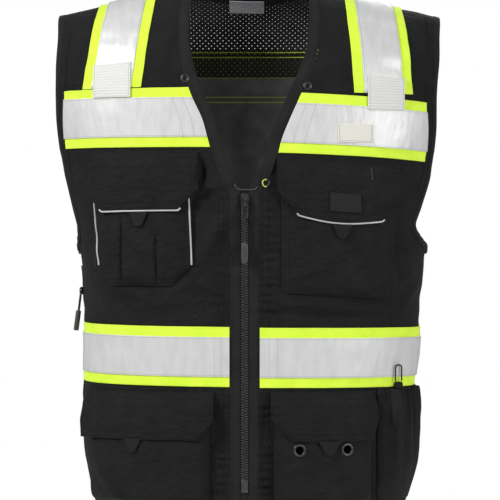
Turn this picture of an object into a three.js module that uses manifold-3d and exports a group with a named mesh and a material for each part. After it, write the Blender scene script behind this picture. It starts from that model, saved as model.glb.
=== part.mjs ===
// Utility work vest. Millimetres, +Z up, the front towards -Y, the wearer's right towards -X.
// The origin lies on the vest's middle line at the height of the neck points, where shoulders carry it.
//
// The body is one smooth surface: rings of rounded-square outline, closed over the shoulders by a quarter
// ellipse. A place on it has a turn (0 at the middle of the front, a quarter circle at the side seam, half
// a circle at the middle of the back, negative on the wearer's right) and a level (its drop below the neck
// points, counted negative). Every layer of cloth is that surface at its own distance, its lift.
import * as THREE from "three";
import { mergeVertices } from "three/addons/utils/BufferGeometryUtils.js";
import Module from "manifold-3d";

const wasm = await Module();
wasm.setup();

// Body
const vestLength = 668; // neck point to hem
const bodyHalfWidth = 220; // middle line to side seam, at the waist
const frontDepth = 120;
const backDepth = 115;
const shoulderRise = 150; // height of the rounded shoulders above the plain body
const shoulderHalfWidth = 246;
const shoulderDrop = 42; // neck point to shoulder tip
const neckHalfWidth = 77;
const neckDepth = 275; // neck point to the foot of the V
const backNeckDepth = 16;
const armholeDepth = 350;
const ringPower = 2.4; // 2 is an ellipse, more is squarer
const foldDepth = 5;

// Walls and the gaps between layers
const clothWall = 1.5;
const ribbonWall = 1;
const patchWall = 1;
const flapWall = 1.2;
const seamGap = 0.4;
const edgeGap = 0.7; // from the cloth's edge to its facing or binding
const layerGap = 0.8;
const tapeGap = 0.5;
const endGap = 1.5; // from a band's end to the edge of the cloth under it
const chestSideGap = 10; // from a chest band's outer end to the armhole's edge

// Edges
const facingWidth = 12.5;
const bindingWidth = 6.5;
const edgeLift = 0.8; // how far a facing or binding stands above the cloth beside it
const edgeSink = 0.8; // and how far below it
const pipingWidth = 2.6;

// Bands: a ribbon of bright colour with a narrower reflective tape on it
const ribbonWidth = 75;
const tapeWidth = 50;
const meshDepth = 110; // neck point to the foot of the back's mesh yoke

// Front zip
const zipX = -5.5;
const chainWidth = 9;
const chainWall = 3;
const placketWidth = 12;
const chainGap = 0.5;
const zipEnd = 20; // from the foot of the zip to the hem
const sliderHeight = 20;
const sliderWidth = 11;
const sliderWall = 2.4;
const bridgeHeight = 4.4;
const bridgeLength = 14;
const bridgeWidth = 3;
const bridgeWall = 1.4;
const tabWidth = 9;
const tabHeight = 18;
const tabWall = 1.6;
const pullCordLength = 29;
const pullCordWidth = 4.4;
const gripLength = 26;
const gripWidth = 9;
const gripWall = 5;

// Side zip and its pull
const sideChainWidth = 7;
const sideChainWall = 1.6;
const sideZipDrop = 366; // neck point to the top of the side zip
const sideSliderDrop = 393;
const sideSliderHeight = 10;
const sideCordLength = 20;
const sideCordWidth = 3.6;
const sideGripLength = 26;
const sideGripWidth = 7;
const sidePullLean = 0.13; // sideways run of the hanging pull for each millimetre of its drop

// Bottle pocket
const bottleHeight = 144;
const bottleBulge = 13;
const bottleGap = 6; // open space at its elastic mouth
const gatherDepth = 2;
const gathers = 6;
const cordWidth = 2;
const lockHeight = 8;
const lockWidth = 11;
const lockDepth = 6;
const loopRise = 21; // the draw cord's loop above its lock, at the cord's middle
const loopWidth = 8; // between the middles of its two legs

// Grommets in the left lower pocket
const grommetRadius = 8.3;
const grommetHole = 5;
const grommetLip = 1.2; // how far the ring stands above the cloth
const grommetSpacing = 57;
const grommetDrop = 11.5; // from the flap's lower edge to the grommet's middle

const cloth = { color: 0x17181b, roughness: 0.9, metalness: 0 };
const mesh = { color: 0x1d1e21, roughness: 0.95, metalness: 0 };
const edging = { color: 0x121316, roughness: 0.92, metalness: 0 };
const bright = { color: 0xd3ee34, roughness: 0.8, metalness: 0 };
const silver = { color: 0xd9dadd, roughness: 0.45, metalness: 0.1 };
const piping = { color: 0x9b9da1, roughness: 0.5, metalness: 0.1 };
const rubber = { color: 0x2c2d30, roughness: 0.7, metalness: 0 };
const ribbed = { color: 0xd4d3cf, roughness: 0.6, metalness: 0 };
const metal = { color: 0x2a2b2e, roughness: 0.35, metalness: 0.9 };
const cream = { color: 0xdedacb, roughness: 0.75, metalness: 0 };
const olive = { color: 0x2d2f26, roughness: 0.9, metalness: 0 };

// Sections from the shoulders to the hem. at is a share of the vest's length, right and left of its half
// width, front and back of the front's and the back's depth.
const sections = [
  { at: 0, right: 1.227, left: 1.227, front: 0.983, back: 0.974 },
  { at: 0.225, right: 1.191, left: 1.191, front: 1.017, back: 1.026 },
  { at: 0.374, right: 1.109, left: 1.109, front: 1.067, back: 1.043 },
  { at: 0.449, right: 1.045, left: 1.055, front: 1.067, back: 1.026 },
  { at: 0.516, right: 0.991, left: 1.036, front: 1.042, back: 0.991 },
  { at: 0.614, right: 0.973, left: 1.009, front: 1, back: 0.939 },
  { at: 0.704, right: 0.968, left: 1, front: 0.975, back: 0.913 },
  { at: 0.793, right: 0.968, left: 0.964, front: 0.958, back: 0.922 },
  { at: 0.898, right: 0.95, left: 0.95, front: 0.942, back: 0.939 },
  { at: 1, right: 0.905, left: 0.923, front: 0.917, back: 0.957 },
];

// The front edge of the cloth along the V, where its facing is sewn on. at is a share of the neck's depth,
// right and left of the neck's half width.
const neckEdge = [
  { at: 0, right: 1.09, left: 1.17 },
  { at: 0.19, right: 1.155, left: 1.16 },
  { at: 0.36, right: 1.13, left: 1.115 },
  { at: 0.47, right: 1.018, left: 0.944 },
  { at: 0.56, right: 0.9, left: 0.8 },
  { at: 0.66, right: 0.735, left: 0.64 },
  { at: 0.75, right: 0.645, left: 0.51 },
  { at: 0.85, right: 0.545, left: 0.415 },
  { at: 0.93, right: 0.42, left: 0.3 },
  { at: 1, right: 0.312, left: 0.143 },
];

// The armholes. at is a share of their depth, right and left are the half opening as a share of the depth
// of the vest's front or back there.
const armEdge = [
  { at: 0, right: 0.56, left: 0.55 },
  { at: 0.17, right: 0.54, left: 0.555 },
  { at: 0.42, right: 0.48, left: 0.55 },
  { at: 0.6, right: 0.4, left: 0.475 },
  { at: 0.72, right: 0.38, left: 0.445 },
  { at: 0.82, right: 0.39, left: 0.47 },
  { at: 0.9, right: 0.375, left: 0.52 },
  { at: 0.96, right: 0.27, left: 0.38 },
  { at: 1, right: 0.012, left: 0.012 },
];

// Dents (negative depth) and folds of the worn cloth. x and width are shares of the vest's half width, at
// and length of its length, depth of the deepest fold; lean is the fold's slope from upright, in degrees.
const folds = [
  { face: 1, x: -0.82, at: 0.575, length: 0.06, width: 0.09, depth: 0.9, lean: -38 },
  { face: 1, x: -0.66, at: 0.61, length: 0.04, width: 0.07, depth: -0.6, lean: -62 },
  { face: 1, x: -0.22, at: 0.5, length: 0.1, width: 0.09, depth: 0.5, lean: 12 },
  { face: 1, x: 0.2, at: 0.55, length: 0.1, width: 0.09, depth: 0.6, lean: -14 },
  { face: 1, x: 0.84, at: 0.565, length: 0.06, width: 0.1, depth: 1, lean: 42 },
  { face: 1, x: 0.72, at: 0.625, length: 0.04, width: 0.07, depth: -0.6, lean: 66 },
  { face: -1, x: -0.6, at: 0.5, length: 0.12, width: 0.12, depth: 1, lean: -28 },
  { face: -1, x: 0.6, at: 0.5, length: 0.12, width: 0.12, depth: 1, lean: 28 },
  { face: -1, x: 0, at: 0.44, length: 0.14, width: 0.12, depth: -0.8, lean: 0 },
  { face: -1, x: -0.45, at: 0.88, length: 0.08, width: 0.12, depth: 0.8, lean: 6 },
  { face: -1, x: 0.42, at: 0.88, length: 0.08, width: 0.12, depth: 0.8, lean: -8 },
];

const hem = -vestLength;
const zipTop = -neckDepth;
const zipFoot = hem + zipEnd;
const ribbonLift = layerGap + ribbonWall;
const tapeLift = ribbonLift + tapeGap + ribbonWall;
const patchLift = tapeLift + tapeGap + patchWall;
const tapeShare = (ribbonWidth - tapeWidth) / 2 / ribbonWidth;

// Bands by the level of their upper edge at the middle line's end and at the outer end.
const chestTop = { right: [-142, -141], left: [-149, -158] };
const waistRise = { right: [227, 230], left: [226, 224] }; // upper edge above the hem
const backChestTop = -74;
const backWaistRise = 228;

// Pockets: x of the edge nearer the middle line and of the outer one, upper edge, height and the like.
const chestRight = {
  inner: -70,
  outer: -195,
  top: -236,
  height: 154,
  tilt: 0,
  chamfer: 27,
  bulge: 7,
  mouth: 0.5,
  steep: 6,
};
const chestLeft = { ...chestRight, inner: 40, outer: 183, top: -244, height: 154, tilt: -10, chamfer: 18 };
const lowerTop = 132; // upper edge of the lower pockets above the hem
const lowerRight = {
  inner: -49,
  outer: -196,
  top: hem + lowerTop,
  height: lowerTop - 4,
  tilt: 0,
  chamfer: 3,
  bulge: 15,
  mouth: 0.45,
  steep: 14,
};
const lowerLeft = { ...lowerRight, inner: 31, outer: 152 };

// Trims on the tapes: x of the middle, upper edge, width and height.
const trimPlaces = {
  mic_tab_right: { x: -171, top: -104, width: 47, height: 50, finish: ribbed },
  mic_tab_left: { x: 171, top: -124, width: 46, height: 46, finish: ribbed },
  id_patch: { x: 132, top: -188, width: 44, height: 23, finish: cream },
};
const labelWidth = 46;
const labelHeight = 14; // in height; the label leans back with the yoke
const labelX = -3;
const labelRise = 2; // its upper edge above the facing's foot

const flapSewn = 14; // a flap is sewn this far above its pocket's mouth
const chestFlapRight = { pocket: chestRight, overhang: 7, drop: 72, chamfer: 20, round: 0 };
const chestFlapLeft = { pocket: chestLeft, overhang: 5, drop: 69, chamfer: 20, round: 8 };
const lowerFlapRight = { pocket: lowerRight, overhang: 5, drop: 59, chamfer: 22, round: 0 };
const lowerFlapLeft = { pocket: lowerLeft, overhang: 4, drop: 60, chamfer: 26, round: 2 };

const quarter = Math.PI / 2;
const steps = (count, from = 0, to = 1) =>
  Array.from({ length: count + 1 }, (_, i) => from + ((to - from) * i) / count);
const mix = (a, b, t) => a + (b - a) * t;
const clamp = (v) => Math.min(Math.max(v, 0), 1);
const power = (v, p) => Math.sign(v) * Math.abs(v) ** p;

// A column's value between the rows of a table, by a cubic that is smooth across each row.
function along(rows, column, at) {
  let i = 0;
  while (i < rows.length - 2 && at > rows[i + 1].at) i += 1;
  const a = rows[i];
  const b = rows[i + 1];
  const before = rows[Math.max(i - 1, 0)];
  const after = rows[Math.min(i + 2, rows.length - 1)];
  const span = b.at - a.at;
  const from = ((b[column] - before[column]) / (b.at - before.at)) * span;
  const to = ((after[column] - a[column]) / (after.at - a.at)) * span;
  const t = clamp((at - a.at) / span);
  const rise = t * t * (3 - 2 * t);
  return mix(a[column], b[column], rise) + from * t * (1 - t) ** 2 - to * t * t * (1 - t);
}

const sideOf = (x) => (x < 0 ? "right" : "left");
const halfWidth = (side, level) => bodyHalfWidth * along(sections, side, -level / vestLength);
const depthOf = (face, level) =>
  face > 0
    ? frontDepth * along(sections, "front", -level / vestLength)
    : backDepth * along(sections, "back", -level / vestLength);

// The height of the shoulder's ridge.
function roof(x) {
  const past = Math.max(Math.abs(x) - neckHalfWidth, 0);
  return (-shoulderDrop * past) / (shoulderHalfWidth - neckHalfWidth);
}

// Negative inside the vest, zero on its surface and positive outside.
function outside(x, y, z) {
  const share = Math.max(0, (z + shoulderRise) / (roof(x) + shoulderRise));
  const level = share > 0 ? shoulderRise * (share - 1) : z;
  const across = 1 - (Math.abs(x) / halfWidth(sideOf(x), level)) ** ringPower;
  const reach = power(across, 2 / ringPower) * (1 - share * share);
  return (y / depthOf(y < 0 ? 1 : -1, level)) ** 2 - reach;
}

// The direction straight out of the cloth, from the steepest rise of that function.
function outward({ x, y, z }) {
  const e = 0.5;
  return new THREE.Vector3(
    outside(x + e, y, z) - outside(x - e, y, z),
    outside(x, y + e, z) - outside(x, y - e, z),
    outside(x, y, z + e) - outside(x, y, z - e),
  ).normalize();
}

// How far the folds lift the cloth at a place.
function foldLift(x, level, face) {
  let lift = 0;
  for (const fold of folds) {
    if (fold.face !== face) continue;
    const lean = THREE.MathUtils.degToRad(fold.lean);
    const dx = x - fold.x * bodyHalfWidth;
    const dz = level + fold.at * vestLength;
    const beside = (dx * Math.cos(lean) - dz * Math.sin(lean)) / (fold.width * bodyHalfWidth);
    const lengthwise = (dx * Math.sin(lean) + dz * Math.cos(lean)) / (fold.length * vestLength);
    lift += fold.depth * foldDepth * Math.exp(-beside * beside - lengthwise * lengthwise);
  }
  return lift;
}

// The point of a turn and a level, lifted off the cloth's outer face.
function skin(turn, level, lift = 0) {
  const face = Math.cos(turn) > 0 ? 1 : -1;
  const side = turn < 0 ? "right" : "left";
  const x = halfWidth(side, level) * power(Math.sin(turn), 2 / ringPower);
  const share = Math.max(0, 1 + level / shoulderRise);
  const y = -depthOf(face, level) * power(Math.cos(turn), 2 / ringPower) * Math.sqrt(1 - share * share);
  const z = share > 0 ? mix(-shoulderRise, roof(x), share) : level;
  const point = new THREE.Vector3(x, y, z);
  return point.addScaledVector(outward(point), lift + foldLift(x, level, face));
}

// The turn of a place with a given x, on the front (face 1) or the back (face -1).
function turnAt(x, level, face = 1) {
  const share = clamp(Math.abs(x) / halfWidth(sideOf(x), level));
  const turn = Math.asin(share ** (ringPower / 2));
  return Math.sign(x) * (face > 0 ? turn : Math.PI - turn);
}
const onFront = (x, level, lift) => skin(turnAt(x, level), level, lift);

// Turns of the cloth's edges: along the V and the zip, and along the armhole and the side seam.
function frontEdgeTurn(side, level) {
  const sign = side === "right" ? -1 : 1;
  const placketEdge = zipX + sign * (chainWidth / 2 + chainGap + placketWidth + seamGap);
  const x = level > zipTop ? sign * neckHalfWidth * along(neckEdge, side, -level / neckDepth) : placketEdge;
  return Math.abs(turnAt(x, level));
}
function sideEdgeTurn(side, level) {
  const seam = (seamGap / 2 / frontDepth) ** (ringPower / 2);
  const opening = level > -armholeDepth ? along(armEdge, side, -level / armholeDepth) : 0;
  return quarter - Math.max(Math.asin(opening ** (ringPower / 2)), seam);
}

// Levels of the cloth's rows. Over the shoulders they are even steps of the rounding's arc, from the
// ridge down.
const ridge = -shoulderRise * (1 - Math.sqrt(1 - (seamGap / frontDepth) ** 2));
const capSteps = 7;
const capLevels = steps(capSteps).map((t) => mix(ridge, -shoulderRise, 1 - Math.cos(t * quarter)));
const armLevels = [0.54, 0.65, 0.76, 0.84, 0.9, 0.95, 0.985, 1].map((t) => -armholeDepth * t);
const waistLevels = steps(8, -armholeDepth, hem).slice(1);
const bodyLevels = [...capLevels, ...armLevels, ...waistLevels];

const group = new THREE.Group();
const materials = new Map();

function addMesh(name, geometry, finish) {
  if (!materials.has(finish)) materials.set(finish, new THREE.MeshStandardMaterial(finish));
  const made = new THREE.Mesh(geometry, materials.get(finish));
  made.name = name;
  group.add(made);
  return made;
}

// Turns a closed shape's faces outwards, by the sign of the volume that they enclose.
function facingOut(positions, triangles) {
  let volume = 0;
  const [a, b, c] = [new THREE.Vector3(), new THREE.Vector3(), new THREE.Vector3()];
  for (let i = 0; i < triangles.length; i += 3) {
    a.fromArray(positions, 3 * triangles[i]);
    b.fromArray(positions, 3 * triangles[i + 1]);
    c.fromArray(positions, 3 * triangles[i + 2]);
    volume += a.dot(b.cross(c));
  }
  if (volume < 0) triangles.reverse();
  const geometry = new THREE.BufferGeometry();
  geometry.setAttribute("position", new THREE.Float32BufferAttribute(positions, 3));
  geometry.setIndex(triangles);
  return geometry;
}

// A wall of cloth: the outer face is at(column, row) and the inner one lies a wall's thickness behind it,
// straight through the body's surface, or through the piece's own surface if it bulges off the body.
function clothShell(columns, rows, at, wall, bulges = false) {
  const outer = rows.map((row) => columns.map((column) => at(column, row)));
  const wide = columns.length;
  const high = rows.length;
  const normal = (i, j) => {
    const left = outer[j][Math.max(i - 1, 0)];
    const right = outer[j][Math.min(i + 1, wide - 1)];
    const above = outer[Math.max(j - 1, 0)][i];
    const below = outer[Math.min(j + 1, high - 1)][i];
    const across = right.clone().sub(left);
    return across.cross(below.clone().sub(above)).normalize();
  };
  const middle = [wide >> 1, high >> 1];
  const flip = normal(...middle).dot(outward(outer[middle[1]][middle[0]])) < 0 ? -1 : 1;
  const positions = [];
  outer.forEach((row) => row.forEach((point) => positions.push(...point.toArray())));
  outer.forEach((row, j) =>
    row.forEach((point, i) => {
      const through = bulges ? normal(i, j).multiplyScalar(flip) : outward(point);
      const inner = point.clone().addScaledVector(through, -wall);
      positions.push(...inner.toArray());
    }),
  );
  const triangles = [];
  const quad = (a, b, c, d) => triangles.push(a, b, c, a, c, d);
  const index = (i, j, layer) => layer * wide * high + j * wide + i;
  for (let j = 0; j < high - 1; j += 1) {
    for (let i = 0; i < wide - 1; i += 1) {
      quad(index(i, j, 0), index(i, j + 1, 0), index(i + 1, j + 1, 0), index(i + 1, j, 0));
      quad(index(i, j, 1), index(i + 1, j, 1), index(i + 1, j + 1, 1), index(i, j + 1, 1));
    }
    quad(index(0, j, 0), index(0, j, 1), index(0, j + 1, 1), index(0, j + 1, 0));
    quad(index(wide - 1, j, 0), index(wide - 1, j + 1, 0), index(wide - 1, j + 1, 1), index(wide - 1, j, 1));
  }
  for (let i = 0; i < wide - 1; i += 1) {
    quad(index(i, 0, 0), index(i + 1, 0, 0), index(i + 1, 0, 1), index(i, 0, 1));
    quad(index(i, high - 1, 0), index(i, high - 1, 1), index(i + 1, high - 1, 1), index(i + 1, high - 1, 0));
  }
  return facingOut(positions, triangles);
}

// A bar along a path on the cloth, with its section's corners given as [sideways, up] from each point.
// Sideways is to the right of the path as seen from outside the vest.
function barAlong(path, section) {
  const positions = [];
  const triangles = [];
  const last = path.length - 1;
  const count = section.length;
  path.forEach((point, k) => {
    const up = outward(point);
    const ahead = path[Math.min(k + 1, last)].clone().sub(path[Math.max(k - 1, 0)]);
    const sideways = ahead.cross(up).normalize();
    section.forEach(([beside, above]) => {
      const corner = point.clone().addScaledVector(sideways, beside).addScaledVector(up, above);
      positions.push(...corner.toArray());
    });
  });
  for (let k = 0; k < last; k += 1) {
    for (let s = 0; s < count; s += 1) {
      const next = (s + 1) % count;
      const [a, b] = [k * count + s, k * count + next];
      triangles.push(a, b, b + count, a, b + count, a + count);
    }
  }
  for (let s = 1; s < count - 1; s += 1) {
    triangles.push(0, s + 1, s);
    triangles.push(last * count, last * count + s, last * count + s + 1);
  }
  return facingOut(positions, triangles);
}

// The corners of a round cord's section, for a bar that rests on its path.
const roundSection = (width, beside, sides = 5) =>
  steps(sides).slice(1).map((t) => {
    const around = 2 * Math.PI * t;
    return [beside + (width / 2) * Math.cos(around), (width / 2) * (1 + Math.sin(around))];
  });

// A geometry as a solid for joining and cutting, and back.
function solidOf(geometry) {
  const bare = geometry.index ? geometry.toNonIndexed() : geometry.clone();
  bare.deleteAttribute("normal");
  bare.deleteAttribute("uv");
  const merged = mergeVertices(bare, 1e-4);
  return new wasm.Manifold(
    new wasm.Mesh({
      numProp: 3,
      vertProperties: merged.attributes.position.array,
      triVerts: new Uint32Array(merged.index.array),
    }),
  );
}
function geometryOf(solid) {
  const { vertProperties, triVerts } = solid.getMesh();
  const geometry = new THREE.BufferGeometry();
  geometry.setAttribute("position", new THREE.Float32BufferAttribute(vertProperties, 3));
  geometry.setIndex([...triVerts]);
  return geometry;
}

// Cloth of the front, from the V and the zip to the armhole and the side seam.
function frontPanel(side) {
  const sign = side === "right" ? -1 : 1;
  const at = (u, level) =>
    skin(sign * mix(frontEdgeTurn(side, level), sideEdgeTurn(side, level), u), level);
  addMesh("front_panel_" + side, clothShell(steps(9), bodyLevels, at, clothWall), cloth);
}

// The level of the back's neckline at a turn past the side: the ridge outside the neck, a curve inside it.
const neckTurnBack = (side) => {
  const x = neckHalfWidth * neckEdge[0][side];
  return Math.abs(turnAt(side === "right" ? -x : x, ridge, -1));
};
function backNeckLevel(turn) {
  const start = neckTurnBack(turn < 0 ? "right" : "left");
  const share = clamp((Math.abs(turn) - start) / (Math.PI - start));
  return mix(ridge, -backNeckDepth, Math.sin(share * quarter) ** 0.7);
}

// Columns of the back, as turns from the wearer's right round the middle of the back to the left.
function backTurn(u, level) {
  const right = 2 * quarter - sideEdgeTurn("right", level);
  const left = 2 * quarter - sideEdgeTurn("left", level);
  return u < 0.5 ? -mix(right, Math.PI, u * 2) : mix(left, Math.PI, 2 - u * 2);
}

// The upper edge of the back at a column, and a level's place on the rounding of the shoulders.
const backNeckTop = (u) => backNeckLevel(backTurn(u, ridge));
const bowOf = (level) => Math.acos(clamp(1 + level / shoulderRise));

// The mesh yoke of the back. Its columns bunch towards the neck points, where its upper edge has corners.
function backMeshColumns() {
  const neckShare = (side) => {
    const edge = 2 * quarter - sideEdgeTurn(side, ridge);
    return (neckTurnBack(side) - edge) / (Math.PI - edge) / 2;
  };
  return [
    ...steps(5, 0, neckShare("right")),
    ...steps(4, neckShare("right"), 0.5).slice(1),
    ...steps(4, 0.5, 1 - neckShare("left")).slice(1),
    ...steps(5, 1 - neckShare("left"), 1).slice(1),
  ];
}
function backMesh() {
  const columns = backMeshColumns();
  const foot = bowOf(-meshDepth);
  const rows = [...capLevels.filter((level) => level > -meshDepth).map((level) => bowOf(level) / foot), 1];
  const at = (u, v) => {
    const bow = mix(bowOf(backNeckTop(u)), foot, v);
    const level = -shoulderRise * (1 - Math.cos(bow));
    return skin(backTurn(u, level), level);
  };
  addMesh("back_mesh", clothShell(columns, rows, at, clothWall), mesh);
}

function backPanel() {
  const levels = bodyLevels.filter((level) => level < -meshDepth - seamGap);
  const rows = [-meshDepth - seamGap, ...levels];
  const at = (u, level) => skin(backTurn(u, level), level);
  addMesh("back_panel", clothShell(steps(14), rows, at, clothWall), cloth);
}

// The facing sewn along the V and round the back of the neck, from the foot of the V on the right.
function neckFacing() {
  const levels = bodyLevels.filter((level) => level > zipTop + facingWidth / 4);
  const rise = (side) => {
    const sign = side === "right" ? -1 : 1;
    return [...levels, zipTop].map((level) => skin(sign * frontEdgeTurn(side, level), level));
  };
  const back = backMeshColumns()
    .slice(6, -6)
    .map((u) => skin(backTurn(u, backNeckTop(u)), backNeckTop(u)));
  const path = [...rise("right").reverse(), ...back, ...rise("left")];
  const low = -clothWall - edgeSink;
  const section = [
    [edgeGap, low],
    [edgeGap + facingWidth, low],
    [edgeGap + facingWidth, edgeLift],
    [edgeGap, edgeLift],
  ];
  addMesh("neck_facing", barAlong(path, section), edging);
}

// The binding round an armhole, from the shoulder down the front and up the back.
function armBinding(side) {
  const sign = side === "right" ? -1 : 1;
  const levels = bodyLevels.filter((level) => level > -armholeDepth - seamGap);
  const front = levels.map((level) => skin(sign * sideEdgeTurn(side, level), level));
  const back = levels.map((level) => skin(sign * (2 * quarter - sideEdgeTurn(side, level)), level));
  const path = [...front, ...back.reverse()];
  const low = -clothWall - edgeSink;
  const near = -sign * edgeGap;
  const far = -sign * (edgeGap + bindingWidth);
  const section = [
    [near, low],
    [far, low],
    [far, edgeLift],
    [near, edgeLift],
  ];
  addMesh("arm_binding_" + side, barAlong(path, section), edging);
}

// Plain strips of the front below the V: the doubled cloth beside the zip, and the zip's chain.
function placket(side) {
  const sign = side === "right" ? -1 : 1;
  const near = zipX + sign * (chainWidth / 2 + chainGap);
  const rows = [zipTop - seamGap, ...bodyLevels.filter((level) => level < zipTop - facingWidth)];
  const at = (u, level) => onFront(near + sign * u * placketWidth, level, edgeLift);
  const wall = clothWall + edgeLift + edgeSink;
  addMesh("zip_placket_" + side, clothShell([0, 1], rows, at, wall), cloth);
}

function zipChain() {
  const boxHeight = 16;
  const boxLift = 2.6;
  const rows = [...steps(14, zipTop, zipFoot + boxHeight), zipFoot + boxHeight - 0.01, zipFoot];
  const at = (u, level) => {
    const lift = level < zipFoot + boxHeight ? boxLift : chainWall / 2;
    return onFront(zipX + (u - 0.5) * chainWidth, level, lift);
  };
  addMesh("zip_chain", clothShell([0, 0.5, 1], rows, at, chainWall), rubber);
}

// The front of the zip chain under the slider, which the slider and its pull are built out from.
const sliderMiddle = zipTop - sliderHeight / 2;
const chainFace = onFront(zipX, sliderMiddle, chainWall / 2).y;
const plateBack = chainFace - seamGap;
const plateFace = plateBack - sliderWall;
const slotHeight = bridgeHeight - bridgeWall;
const hingeY = plateFace - slotHeight / 2;
const hingeZ = sliderMiddle - bridgeLength / 2 + bridgeWall + 1.4;

// A flat outline of [x, z] corners, drawn out from y towards the front.
function frontPlate(corners, y, wall, holes = []) {
  const shape = new THREE.Shape(corners.map(([x, z]) => new THREE.Vector2(x, z)));
  for (const hole of holes) shape.holes.push(new THREE.Path(hole.map(([x, z]) => new THREE.Vector2(x, z))));
  const geometry = new THREE.ExtrudeGeometry(shape, { depth: wall, bevelEnabled: false });
  return geometry.rotateX(quarter).translate(0, y, 0);
}
const rectangle = (x, top, width, height) => [
  [x - width / 2, top],
  [x - width / 2, top - height],
  [x + width / 2, top - height],
  [x + width / 2, top],
];

// The slider: a shield-shaped plate over the chain with a bridge that its tab hangs from.
function slider() {
  const half = sliderWidth / 2;
  const low = zipTop - sliderHeight;
  const outline = [
    [zipX - half * 0.8, zipTop],
    [zipX - half, zipTop - sliderHeight * 0.3],
    [zipX - half * 0.62, low],
    [zipX + half * 0.62, low],
    [zipX + half, zipTop - sliderHeight * 0.3],
    [zipX + half * 0.8, zipTop],
  ];
  const plate = solidOf(frontPlate(outline, plateBack, sliderWall));
  const arch = new THREE.Shape();
  const reach = bridgeLength / 2;
  arch.moveTo(-reach, 0.6);
  arch.lineTo(-reach, -bridgeHeight * 0.6);
  arch.lineTo(-reach * 0.75, -bridgeHeight);
  arch.lineTo(reach * 0.75, -bridgeHeight);
  arch.lineTo(reach, -bridgeHeight * 0.6);
  arch.lineTo(reach, 0.6);
  const slot = reach - bridgeWall;
  arch.holes.push(
    new THREE.Path([
      new THREE.Vector2(-slot, 0),
      new THREE.Vector2(-slot, -slotHeight),
      new THREE.Vector2(slot, -slotHeight),
      new THREE.Vector2(slot, 0),
    ]),
  );
  const turned = new THREE.Matrix4().makeRotationY(quarter).setPosition(zipX, plateFace, sliderMiddle);
  const upright = new THREE.ExtrudeGeometry(arch, { depth: bridgeWidth, bevelEnabled: false });
  upright.translate(0, 0, -bridgeWidth / 2).applyMatrix4(turned);
  addMesh("zip_slider", geometryOf(plate.add(solidOf(upright))), metal);
}

// The tab: a metal frame whose upper bar lies in the slider's bridge and whose foot holds the cord.
function tab() {
  const barHalf = tabWall / 2;
  const top = hingeZ + barHalf;
  const armWidth = (tabWidth - bridgeWidth - 1.2) / 2;
  const window = rectangle(zipX, hingeZ - barHalf, tabWidth - 2 * armWidth, tabHeight - tabWall - 3);
  const outline = rectangle(zipX, top, tabWidth, tabHeight);
  addMesh("zip_tab", frontPlate(outline, hingeY + barHalf, tabWall, [window]), metal);
  return top - tabHeight;
}

// A round cord along a curve, and a straight one between two points.
function roundCord(name, path, count, width, finish) {
  const circle = new THREE.Shape(
    steps(8).slice(1).map((t) => {
      const around = 2 * Math.PI * t;
      return new THREE.Vector2((width / 2) * Math.cos(around), (width / 2) * Math.sin(around));
    }),
  );
  const options = { steps: count, extrudePath: path, bevelEnabled: false };
  addMesh(name, new THREE.ExtrudeGeometry(circle, options), finish);
}
const hangingCord = (name, from, to, width, finish) =>
  roundCord(name, new THREE.LineCurve3(from, to), 3, width, finish);

function frontPull() {
  const foot = tab();
  const start = new THREE.Vector3(zipX, hingeY, foot - seamGap);
  const end = new THREE.Vector3(zipX, hingeY, foot - pullCordLength);
  hangingCord("zip_pull_cord", start, end, pullCordWidth, edging);
  const top = end.z - seamGap;
  const half = gripWidth / 2;
  const outline = [
    [zipX - half * 0.6, top],
    [zipX - half * 0.95, top - gripLength * 0.12],
    [zipX - half, top - gripLength * 0.7],
    [zipX - half * 0.7, top - gripLength],
    [zipX + half * 0.7, top - gripLength],
    [zipX + half, top - gripLength * 0.7],
    [zipX + half * 0.95, top - gripLength * 0.12],
    [zipX + half * 0.6, top],
  ];
  addMesh("zip_pull_grip", frontPlate(outline, hingeY + gripWall / 2, gripWall), rubber);
}

// A ribbon and the tape on it. at(u, level, lift) is a point of the band and top(u) its upper edge.
function band(names, columns, top, at, tapeSteps = 2) {
  const place = (lift) => (u, v) => at(u, top(u) - v * ribbonWidth, lift);
  const tapeRows = steps(tapeSteps, tapeShare, 1 - tapeShare);
  addMesh(names[0], clothShell(columns, [0, ...tapeRows, 1], place(ribbonLift), ribbonWall), bright);
  addMesh(names[1], clothShell(columns, tapeRows, place(tapeLift), ribbonWall), silver);
}

function chestBand(side) {
  const sign = side === "right" ? -1 : 1;
  const [inner, outer] = chestTop[side];
  const inset = endGap / halfWidth(side, inner);
  const at = (u, level, lift) => {
    const from = frontEdgeTurn(side, level) + inset;
    const to = sideEdgeTurn(side, level) - chestSideGap / frontDepth;
    return skin(sign * mix(from, to, u), level, lift);
  };
  band(["chest_ribbon_" + side, "chest_tape_" + side], steps(10), (u) => mix(inner, outer, u), at);
}

// The turn between a side seam and the end of a waist band there; the right seam has a zip between them.
const sideInset = (side) => {
  const clear = side === "right" ? sideChainWidth / 2 + endGap : endGap / 2;
  return (clear / frontDepth) ** (ringPower / 2);
};

function waistBand(side) {
  const sign = side === "right" ? -1 : 1;
  const [inner, outer] = waistRise[side].map((rise) => hem + rise);
  const start = zipX + sign * (chainWidth / 2 + chainGap + placketWidth + seamGap + endGap);
  const at = (u, level, lift) => {
    const from = Math.abs(turnAt(start, level));
    return skin(sign * mix(from, quarter - sideInset(side), u), level, lift);
  };
  band(["waist_ribbon_" + side, "waist_tape_" + side], steps(12), (u) => mix(inner, outer, u), at);
}

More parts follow.
